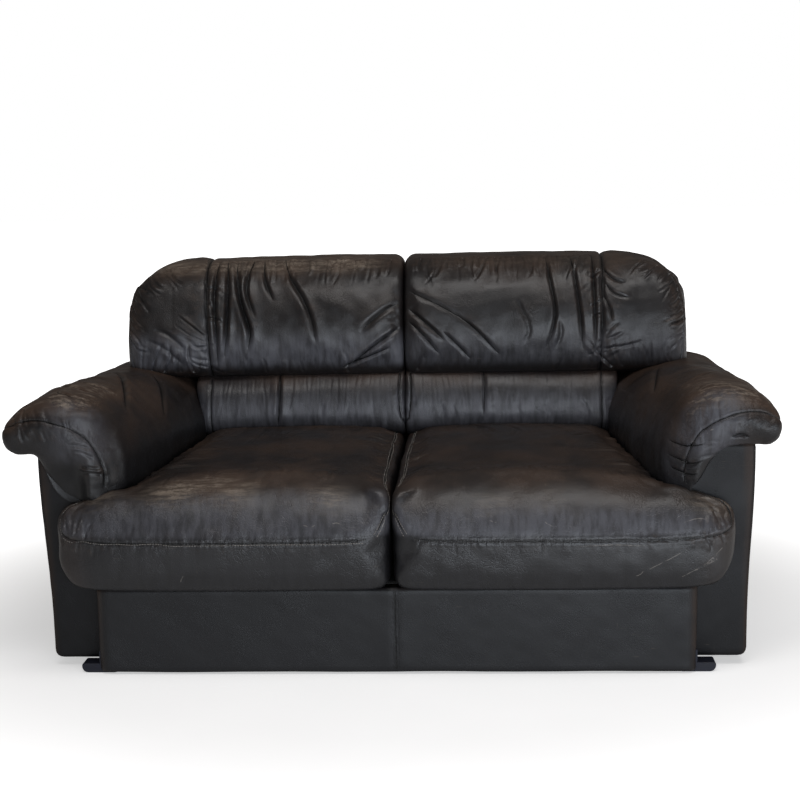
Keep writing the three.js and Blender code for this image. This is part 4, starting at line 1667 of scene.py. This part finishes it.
@dataclass
class ArmPad(SoftPiece):
    """An overstuffed pad on the arm that rolls outwards into a drooping lip."""

    base: str = "arm_pad"
    voxel: float = 0.0062
    triangles: int = 102_000
    uneven: float = 0.0030
    fill: float = 0.75

    def shape(self) -> Skin:
        """A cross-section stacked along Y, with a drop in front of the arm's panel."""
        section = spline([
            (0.596, 0.330), (0.586, 0.400), (0.581, 0.450), (0.587, 0.498), (0.603, 0.542),
            (0.629, 0.580), (0.661, 0.606), (0.703, 0.621), (0.750, 0.619), (0.792, 0.605),
            (0.825, 0.585), (0.847, 0.562), (0.853, 0.535), (0.846, 0.510), (0.826, 0.496),
            (0.800, 0.495), (0.775, 0.498), (0.720, 0.495), (0.640, 0.494), (0.621, 0.480),
            (0.620, 0.400), (0.618, 0.330),
        ], 0.008, closed=True)

        def nose(normals: Array) -> Array:
            """Rounds the top and the inner side of the front most."""
            top = np.clip(normals[:, 1], 0, 1)
            inner = np.clip(-normals[:, 0], 0, 1)
            return 0.026 + 0.052 * top**1.5 + 0.034 * inner

        body = stack(section, -0.420, 0.4245, nose, even(0.028), Stack.ALONG_Y)
        tip = [
            (0.618, 0.415), (0.636, 0.405), (0.658, 0.420), (0.676, 0.450), (0.700, 0.480),
            (0.735, 0.500), (0.785, 0.508),
        ] if not self.left else [
            (0.618, 0.402), (0.650, 0.380), (0.690, 0.376), (0.730, 0.386), (0.758, 0.418),
            (0.770, 0.460), (0.780, 0.495), (0.800, 0.508),
        ]
        drop_outline = spline([
            (0.618, 0.560), (0.612, 0.500), (0.611, 0.445), *tip, (0.800, 0.540), (0.770, 0.580),
            (0.700, 0.595), (0.650, 0.590),
        ], 0.008, closed=True)
        front = even(0.024) if not self.left else by_normal(0.016, 0.024, 0.016)
        drop = stack(drop_outline, -0.412, -0.3635, front, even(0.004), Stack.ALONG_Y)
        skin = self.melt(body, drop)
        points = skin.points
        u, y, z = self.outwards(points).T
        inner_edge = np.interp(
            y, (-0.42, -0.40, -0.37, -0.306, -0.17, 0.075, 0.20, 0.36),
            (0.634, 0.612, 0.599, 0.588, 0.571, 0.541, 0.529, 0.521))
        inward = np.clip((0.71 - u) / 0.12, 0, 1.1) ** 1.3
        upright = bell(z, 0.575, 0.04) * smoothstep(0.72, 0.62, u)
        shift = (inner_edge - 0.588) * inward - 0.030 * upright * smoothstep(-0.15, 0.15, y)
        points[:, 0] += self.side.value * shift
        lowest = 0.402 if not self.left else 0.380
        points[:, 2] += smoothstep(-0.30, -0.37, y) * np.clip(lowest - z, 0, 1)
        turn = np.clip((0.715 - u) / 0.115, 0, 1) ** 1.6 * smoothstep(-0.34, -0.40, y)
        flat = 0.045 * smoothstep(0.51, 0.42, z) * smoothstep(0.645, 0.70, u)
        flat = flat * smoothstep(-0.37, -0.40, y) if self.left else 0
        points[:, 1] += 0.026 * turn + flat
        crest = smoothstep(0.50, 0.60, z)
        points[:, 2] -= 0.019 * smoothstep(-0.25, 0.20, y) * crest
        if not self.left:
            tip = np.clip(u - 0.785, 0, 1)
            points[:, 0] -= 0.22 * tip
            free = smoothstep(0.70, 0.74, u) * smoothstep(-0.352, -0.372, y)
            under = np.maximum(0.003 * smoothstep(0.77, 0.82, u), 0.004 * free)
            points[:, 2] += under * smoothstep(0.55, 0.50, z)
        z = points[:, 2]
        press = smoothstep(0.17, 0.24, y) * smoothstep(0.60, 0.64, z) * smoothstep(0.74, 0.68, u)
        points[:, 2] -= press * np.clip(z - 0.606, 0, 1) * 0.9
        skin.points = points
        u, y, z = self.outwards(points).T
        low = smoothstep(0.53, 0.47, z) * smoothstep(0.84, 0.80, u)
        near_side = smoothstep(0.70, 0.64, u)
        skin.soften(smoothstep(-0.28, -0.35, y) * np.maximum(0.8 * low, near_side), 30)
        return skin

    def finish(self) -> Material:
        """The duller leather of the arms."""
        return self.wardrobe.arm

    def hold(self, points: Array) -> Array:
        """Held where it lies on the arm board."""
        u, y, z = points.T
        under = smoothstep(0.505, 0.495, z) * smoothstep(0.60, 0.63, u)
        return np.clip(0.25 + under + smoothstep(0.36, 0.41, y) * 0.5, 0, 1)

    def excess(self) -> Point3:
        """Slack along its length."""
        return 0.02, 0.05, 0.03

    def seams(self) -> list[Seam]:
        """The seam round the front of the pad."""
        front = (
            (0.848, -0.385, 0.545), (0.823, -0.405, 0.566), (0.789, -0.405, 0.573),
            (0.745, -0.405, 0.569), (0.692, -0.410, 0.552), (0.650, -0.412, 0.524),
            (0.627, -0.405, 0.485), (0.618, -0.400, 0.446), (0.619, -0.400, 0.416),
        )
        return [Seam(front, 0.0028, 0.0032, 0.0018, 0.016, (0.005,))]

    def folds(self) -> list[Fold]:
        """Creases across the pad and puckers at the front seam."""
        deep = 0.0013 if self.left else 0.0008
        made = gathers(97 if self.left else 113, [
            ([(0.83, 0.568), (0.70, 0.560), (0.65, 0.530)], (0.3, 1), 9, (0.015, 0.05), deep,
             0.007),
            ([(0.82, 0.560), (0.70, 0.545)], (-0.4, -1), 7, (0.015, 0.04), deep, 0.007),
            ([(0.665, 0.520), (0.635, 0.44)], (1, 0.25), 4, (0.02, 0.06), 2 * deep, 0.007),
        ])
        if self.left:
            return made + creases([
                ((0.745, 0.100), (0.690, 0.02), (0.650, -0.10), (0.612, -0.24), 0.012, 0.007),
                ((0.640, 0.140), (0.600, 0.06), (0.565, -0.06), 0.011, 0.004),
                ((0.790, -0.20), (0.740, -0.26), (0.680, -0.290), 0.013, 0.006),
                ((0.770, -0.14), (0.72, -0.20), (0.650, -0.215), 0.012, 0.005),
                ((0.750, -0.31), (0.735, -0.335), (0.700, -0.36), 0.010, 0.004),
                ((0.800, 0.02), (0.740, -0.06), (0.690, -0.10), 0.014, 0.004),
            ], facing=Facing.TOP)
        return made + creases([
            ((0.765, 0.520), (0.745, 0.527), (0.725, 0.522), 0.008, 0.005),
        ]) + creases([
            ((0.600, 0.505), (0.635, 0.498), (0.675, 0.508), 0.009, 0.0024),
            ((0.600, 0.475), (0.640, 0.462), (0.672, 0.470), 0.008, 0.0024),
            ((0.604, 0.448), (0.635, 0.438), (0.660, 0.440), 0.008, 0.0022),
        ], lean=0.4) + creases([
            ((0.640, 0.160), (0.620, 0.05), (0.600, -0.08), 0.014, 0.003),
            ((0.790, -0.10), (0.720, -0.18), (0.660, -0.22), 0.014, 0.003),
        ], facing=Facing.TOP)

    def wear(self, points: Array) -> Array:
        """Rubbed brown along the crest, most at the front."""
        u, y, z = points.T
        high, inside = (0.75, 0.45) if self.left else (0.15, 0.85)
        crest = high * smoothstep(0.565, 0.615, z) + inside * smoothstep(0.45, 0.56, z)
        front = 0.6 + 0.4 * smoothstep(0.1, -0.35, y)
        lip = 0.5 * smoothstep(0.80, 0.84, u) * smoothstep(0.53, 0.57, z)
        return crest * front * smoothstep(-0.425, -0.385, y) + lip

    def haze(self, points: Array) -> Array:
        """Painted sheen: light reflected on the nose beside the seam, and on the right pad's inner
        slope.
        """
        u, y, z = points.T
        much, inner = (0.60, 0.0) if self.left else (1.0, 0.30)
        beside_seam = smoothstep(0.78, 0.70, u) * smoothstep(0.46, 0.50, z)
        slope = inner * smoothstep(0.66, 0.60, u) * smoothstep(0.58, 0.53, z)
        return np.maximum(much * smoothstep(-0.34, -0.40, y) * beside_seam, slope)

    def scratches(self) -> dict[Facing, list[tuple[Point2, ...]]]:
        """White specks on the nose of the right pad."""
        if self.left:
            return {}
        return {Facing.FRONT: [
            ((u - 0.003, z - 0.001), (u, z), (u + 0.003, z + 0.001))
            for u, z in ((0.686, 0.538), (0.663, 0.523), (0.650, 0.510), (0.676, 0.530))
        ]}


# ---- panels over boards --------------------------------------------------------------------------


@dataclass
class Cover:
    """A leather cover on a board: a thin rounded slab with slight ripples."""

    name: str
    node: str
    low: Point3
    high: Point3
    radius: float = 0.005
    step: float = 0.009
    ripple: float = 0.0012
    seed: int = 1
    corners: Point2 = (0.0, 0.0)
    rubbed: bool = True
    slot: str = "leather"

    @property
    def thin(self) -> int:
        """The axis along which it is thinnest."""
        return int(np.argmin(np.array(self.high) - np.array(self.low)))

    def grid(self) -> Solid:
        """Points and faces of a box with evenly divided faces."""
        low, high = np.array(self.low), np.array(self.high)
        counts = np.maximum(2, np.round((high - low) / self.step).astype(int))
        ticks = [np.linspace(0, 1, count + 1) for count in counts]
        points, faces, base = [], [], 0
        for axis in range(3):
            others = [other for other in range(3) if other != axis]
            first, second = np.meshgrid(ticks[others[0]], ticks[others[1]], indexing="ij")
            rows, columns = first.shape
            for end in (0.0, 1.0):
                flat = np.empty((first.size, 3))
                flat[:, axis] = end
                flat[:, others[0]] = first.ravel()
                flat[:, others[1]] = second.ravel()
                points.append(flat)
                index = np.arange(rows * columns).reshape(rows, columns) + base
                quads = np.stack([
                    index[:-1, :-1], index[1:, :-1], index[1:, 1:], index[:-1, 1:],
                ], axis=-1).reshape(-1, 4)
                flip = (end == 1.0) == (axis == 1)
                faces.append(quads[:, ::-1] if flip else quads)
                base += first.size
        every = np.vstack(points)
        _, keep, back = np.unique(
            np.round(every, 6), axis=0, return_index=True, return_inverse=True)
        quads = back.ravel()[np.vstack(faces)]
        return low + every[keep] * (high - low), quads.tolist()

    def build(self, finish: Material, bend: Callable | None = None) -> Object:
        """Builds, rounds and dresses the cover.

        Args:
            finish: The leather.
            bend: Moves the finished points, where the cover isn't flat.

        Returns:
            The cover.
        """
        points, faces = self.grid()
        low, high = np.array(self.low) + self.radius, np.array(self.high) - self.radius
        core = np.clip(points, low, high)
        out = points - core
        length = np.linalg.norm(out, axis=1, keepdims=True)
        points = core + out / np.maximum(length, 1e-9) * np.minimum(length, self.radius)
        points = self.round_corners(points)
        wide = Waves(0.16, self.seed).at(points)
        fine = Waves(0.05, self.seed + 7).at(points)
        points[:, self.thin] += self.ripple * (wide + 0.35 * fine)
        if bend is not None:
            points = bend(points)
        obj = new_object(self.name, points, faces)
        skin = Skin(obj)
        edges = self.edge_wear(skin.points) if self.rubbed else np.zeros(len(skin.points))
        skin.finish(wear=edges, bare=0 * edges, haze=0 * edges)
        obj.data.materials.append(finish)
        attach(obj, "root")
        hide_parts(self.node)
        LOG.info("%s: %d faces", obj.name, len(obj.data.polygons))
        return obj

    def round_corners(self, points: Array) -> Array:
        """Rounds the outline's two lower corners in the board's plane."""
        if self.thin == 2 or max(self.corners) == 0:
            return points
        across = 1 - self.thin
        for radius, end, sign in (
            (self.corners[0], self.low[across], -1), (self.corners[1], self.high[across], 1),
        ):
            if radius == 0:
                continue
            a = np.clip(sign * (points[:, across] - (end - sign * radius)) / radius, 0, 1)
            b = np.clip((self.low[2] + radius - points[:, 2]) / radius, 0, 1)
            inside = (a > 0) & (b > 0)
            new_a = a * np.sqrt(1 - b * b / 2)
            new_b = b * np.sqrt(1 - a * a / 2)
            points[inside, across] = (end - sign * radius + sign * new_a * radius)[inside]
            points[inside, 2] = (self.low[2] + radius - new_b * radius)[inside]
        return points

    def edge_wear(self, points: Array) -> Array:
        """Rubbed along the upright edges."""
        across = 0 if self.thin == 2 else 1 - self.thin
        place = points[:, across]
        gap = np.minimum(place - self.low[across], self.high[across] - place)
        return 0.7 * bell(gap, 0, 0.007)


@dataclass
class BodyCovers:
    """The apron, the arms' outer covers and the back of the sofa."""

    wardrobe: Wardrobe

    def build(self) -> None:
        """Builds every cover."""
        for side in Side:
            self.build_arm(side)
            self.build_back_side(side)
        self.build_apron()
        self.build_rear()
        self.build_cloths()

    def build_cloths(self) -> None:
        """The cloth stretched over the springs and the dust cover under the frame."""
        for node, slot, finish, sag, rests in (
            ("seat_deck_cloth", "webbing", self.wardrobe.deck, 0.0,
             ("base_front_rail", "seat_rear_rail")),
            ("dust_cover", "lining_cloth", self.wardrobe.lining, 0.006,
             ("base_front_rail", "base_rear_rail", "base_centre_rail")),
        ):
            low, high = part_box(node)
            width, length = high.x - low.x, high.y - low.y

            def hang(points: Array) -> Array:
                """Lets the cloth hang a little between the rails."""
                across = np.sin(np.pi * np.abs(points[:, 0]) / high.x) ** 2
                along = np.sin(np.pi * (points[:, 1] - low.y) / length)
                points[:, 2] -= sag * across * along
                return points

            cloth = Cover(
                f"{node}_sheet", node, tuple(low), tuple(high), 0.0005, 0.022, 0.0002, 41,
                rubbed=False, slot=slot,
            ).build(finish, hang)

    def slab(self, node: str, grow: float = 0.0) -> tuple[tuple, tuple]:
        """The corners of a node's box, grown a little."""
        low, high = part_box(node)
        return tuple(value - grow for value in low), tuple(value + grow for value in high)

    def build_arm(self, side: Side) -> None:
        """The front and side cover of one arm."""
        for base, corners in (("arm_front_panel", 0.020), ("arm_side_panel", 0.012)):
            node = side.named(base)
            low, high = self.slab(node)
            pair = (corners, corners)
            if base == "arm_front_panel":
                pair = (corners, 0.004) if side is Side.LEFT else (0.004, corners)
                high = (high[0], high[1], high[2] + 0.009)
            seed = 5 + side.value + len(base)

            def flare(points: Array) -> Array:
                """Swells the cover outwards towards its top."""
                u = points[:, 0] * side.value
                out = 0.014 * smoothstep(0.10, 0.46, points[:, 2]) * smoothstep(0.66, 0.74, u)
                points[:, 0] += side.value * out * smoothstep(0.36, -0.10, points[:, 1])
                return points

            Cover(f"{node}_leather", node, low, high, 0.0055, 0.010, 0.0012, seed, pair).build(
                self.wardrobe.panel, flare)

    def build_back_side(self, side: Side) -> None:
        """The cover of one side of the back."""
        node = side.named("back_side_panel")
        low, high = self.slab(node)
        Cover(f"{node}_leather", node, low, high, 0.0035, 0.008, 0.0008, 31).build(
            self.wardrobe.board)

    def build_apron(self) -> None:
        """The padded cover over the front rail, turned back at both ends."""
        low, high = self.slab("front_apron")
        radius = 0.026
        thick = 0.014
        front = low[1]
        half = high[0]
        straight = half - radius
        arc = radius * math.pi / 2
        side_run = high[1] - (front + radius)
        total = straight + arc + side_run

        def bend(points: Array) -> Array:
            """Bends the flat strip round both corners."""
            run = np.abs(points[:, 0])
            sign = np.sign(points[:, 0])
            depth = points[:, 1]
            angle = np.clip((run - straight) / radius, 0, math.pi / 2)
            past = np.clip(run - straight - arc, 0, None)
            reach = radius - depth
            x = np.minimum(run, straight) + reach * np.sin(angle)
            y = front + radius - reach * np.cos(angle) + past
            sag = 0.0006 * np.sin(points[:, 0] * 17) * smoothstep(0.05, 0.0, points[:, 2] - low[2])
            tuck = 0.017 * (points[:, 2] > high[2] - 0.004) * (depth > 0.5 * thick) * (angle == 0)
            return np.column_stack([sign * x, y + tuck, points[:, 2] + sag])

        obj = Cover(
            "front_apron_leather", "front_apron", (-total, 0.0, low[2]), (total, thick, high[2]),
            0.006, 0.008, 0.0009, 17, rubbed=False,
        ).build(self.wardrobe.board, bend)
        skin = Skin(obj)
        seam = Seam(
            ((0.005, front, low[2] + 0.004), (0.004, front, 0.10), (0.005, front, high[2] - 0.004)),
            0.0028, 0.0028, 0.0016, 0.012, ())
        skin.sew([seam])
        points = skin.points
        ends = bell(np.abs(points[:, 0]) - half, -0.006, 0.008)
        for name, values in (
            ("wear", 0.6 * ends), ("seam", skin.lines[Line.SEAM][0]),
            ("seam_side", skin.lines[Line.SEAM][1]),
        ):
            skin.obj.data.attributes[name].data.foreach_set("value", values.astype(np.float32))

    def build_rear(self) -> None:
        """The back cover: full width below the arms, narrower above."""
        low, high = self.slab("rear_panel")
        upper_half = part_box("right_back_side_panel")[1].x
        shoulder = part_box("right_arm_side_panel")[1].z

        def narrow(points: Array) -> Array:
            """Draws the cover in above the arms."""
            part = smoothstep(shoulder, shoulder + 0.06, points[:, 2])
            points[:, 0] *= 1 + (upper_half / high[0] - 1) * part
            return points

        Cover(
            "rear_panel_leather", "rear_panel", low, high, 0.0055, 0.014, 0.0016, 23, rubbed=False,
        ).build(self.wardrobe.board, narrow)


@dataclass
class HiddenFrame:
    """Timber, springs, webbing, linings and feet, which keep their own shapes."""

    wardrobe: Wardrobe

    def build(self) -> None:
        """Gives each carried-over node its finish."""
        finishes = {
            "timber": self.wardrobe.timber,
            "fibreboard": self.wardrobe.fibreboard,
            "spring_steel": self.wardrobe.steel,
            "webbing": self.wardrobe.webbing,
            "lining_cloth": self.wardrobe.lining,
            "foot_plastic": self.wardrobe.foot,
        }
        for part in FRAME["record"]["subparts"]:
            finish = finishes.get(part["material_slot"])
            if finish is None:
                continue
            mesh = FRAME["nodes"][part["node"]].data
            mesh.materials.clear()
            mesh.materials.append(finish)
        LOG.info("hidden frame dressed")


# ---- studio --------------------------------------------------------------------------------------


@dataclass(frozen=True)
class Studio:
    """A pale floor, soft light and the camera."""

    eye: Point3 = (0.2209, -3.5100, 1.1062)
    pitch: float = 9.0805
    yaw: float = -3.6098
    roll: float = -1.3258
    lens: float = 66.13

    def camera(self) -> None:
        """Places the camera in front of the sofa, a little above it."""
        pitch, yaw, roll = (math.radians(v) for v in (self.pitch, self.yaw, self.roll))
        forward = Vector((
            math.sin(yaw) * math.cos(pitch), math.cos(yaw) * math.cos(pitch), -math.sin(pitch)))
        right = forward.cross(Vector((0, 0, 1))).normalized()
        up = right.cross(forward)
        right, up = (
            right * math.cos(roll) + up * math.sin(roll),
            up * math.cos(roll) - right * math.sin(roll),
        )
        data = bpy.data.cameras.new("camera")
        data.lens = self.lens
        data.sensor_width = 36.0
        data.clip_end = 60
        obj = bpy.data.objects.new("camera", data)
        turn = Matrix((right, up, -forward)).transposed().to_4x4()
        obj.matrix_world = Matrix.Translation(self.eye) @ turn
        bpy.context.scene.collection.objects.link(obj)
        bpy.context.scene.camera = obj

    def floor(self) -> None:
        """Lays a wide pale floor."""
        points = np.array([(-30, -30, 0), (30, -30, 0), (30, 30, 0), (-30, 30, 0)], float)
        obj = new_object("floor", points, [[0, 1, 2, 3]])
        finish = Plain(
            "pale_floor", (0.86, 0.86, 0.86, 1), (0.89, 0.89, 0.89, 1), 2.0, roughness=0.9,
            bump=0.00001, glow=0.36)
        obj.data.materials.append(self.fade(finish.material()))

    @staticmethod
    def fade(made: Material) -> Material:
        """Lets the floor turn white away from the sofa, and dims what it gives the sofa nearby."""
        n = Nodes(made.node_tree)
        shader = made.node_tree.nodes["Principled BSDF"]
        flat = n.stretched(n.place(), (0.85, 1.0, 0.0))
        length = n.add("ShaderNodeVectorMath", operation="LENGTH")
        n.feed(length.inputs[0], flat)
        far = n.ramp(length.outputs["Value"], 0.75, 1.9)
        seen = n.add("ShaderNodeLightPath").outputs["Is Camera Ray"]
        near_glow = n.math("ADD", n.product(seen, 0.46), 0.02)
        across = n.add("ShaderNodeSeparateXYZ")
        n.feed(across.inputs[0], flat)
        # The floor glows as light on the sofa for rays other than the camera's, more towards +X.
        far_glow = n.ramp(across.outputs["X"], -1.5, 1.5, (0.12, 0.55))
        far_glow = n.math("MAXIMUM", far_glow, n.product(seen, 0.8))
        n.fill(shader, Emission_Strength=n.plus(near_glow, far, far_glow))
        return made

    def lamp(
        self, name: str, place: Sequence[float], aim: Sequence[float], size: Point2, power: float,
        colour: Point3,
    ) -> None:
        """Adds a soft rectangular lamp.

        Args:
            name: Its name.
            place: Where it is.
            aim: What it points at.
            size: Its width and height.
            power: Its power in watts.
            colour: Its colour.
        """
        data = bpy.data.lights.new(name, "AREA")
        data.shape = "RECTANGLE"
        data.size, data.size_y = size
        data.energy = power
        data.color = colour
        obj = bpy.data.objects.new(name, data)
        obj.location = place
        obj.rotation_euler = (Vector(aim) - Vector(place)).to_track_quat("-Z", "Y").to_euler()
        bpy.context.scene.collection.objects.link(obj)

    def light(self) -> None:
        """Fills the room with dim even light in front of a white backdrop, and adds soft lamps."""
        world = bpy.data.worlds.new("studio")
        world.use_nodes = True
        nodes = Nodes(world.node_tree)
        room = world.node_tree.nodes["Background"]
        nodes.fill(room, Color=(1.0, 0.94, 0.89, 1), Strength=0.13)
        backdrop = nodes.add("ShaderNodeBackground")
        nodes.fill(backdrop, Color=(1, 1, 1, 1))
        seen = nodes.add("ShaderNodeLightPath").outputs["Is Camera Ray"]
        choose = nodes.add("ShaderNodeMixShader")
        nodes.feed(choose.inputs[0], seen)
        nodes.feed(choose.inputs[1], room.outputs[0])
        nodes.feed(choose.inputs[2], backdrop.outputs[0])
        nodes.feed(world.node_tree.nodes["World Output"].inputs["Surface"], choose.outputs[0])
        bpy.context.scene.world = world
        cool = (0.84, 0.91, 1.0)
        self.lamp("front", (1.5, -4.2, 0.62), (0, 0, 0.45), (4.2, 1.2), 92, cool)
        self.lamp("key", (0.4, -1.25, 3.0), (0, -0.3, 0.4), (3.0, 0.9), 38, (1.0, 0.98, 0.97))
        bpy.context.scene.view_settings.view_transform = "Standard"

    def build(self) -> None:
        """Builds the whole studio."""
        self.camera()
        self.floor()
        self.light()


def main() -> None:
    """Builds the sofa and the studio."""
    logging.basicConfig(level=logging.INFO, format="%(name)s: %(message)s")
    Studio().build()
    wardrobe = Wardrobe()
    HiddenFrame(wardrobe).build()
    BodyCovers(wardrobe).build()
    for side in Side:
        for kind in (SeatCushion, LumbarPad, ArmPad, Headrest):
            kind(side, wardrobe).build()
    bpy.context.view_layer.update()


if __name__ == "__main__":
    main()
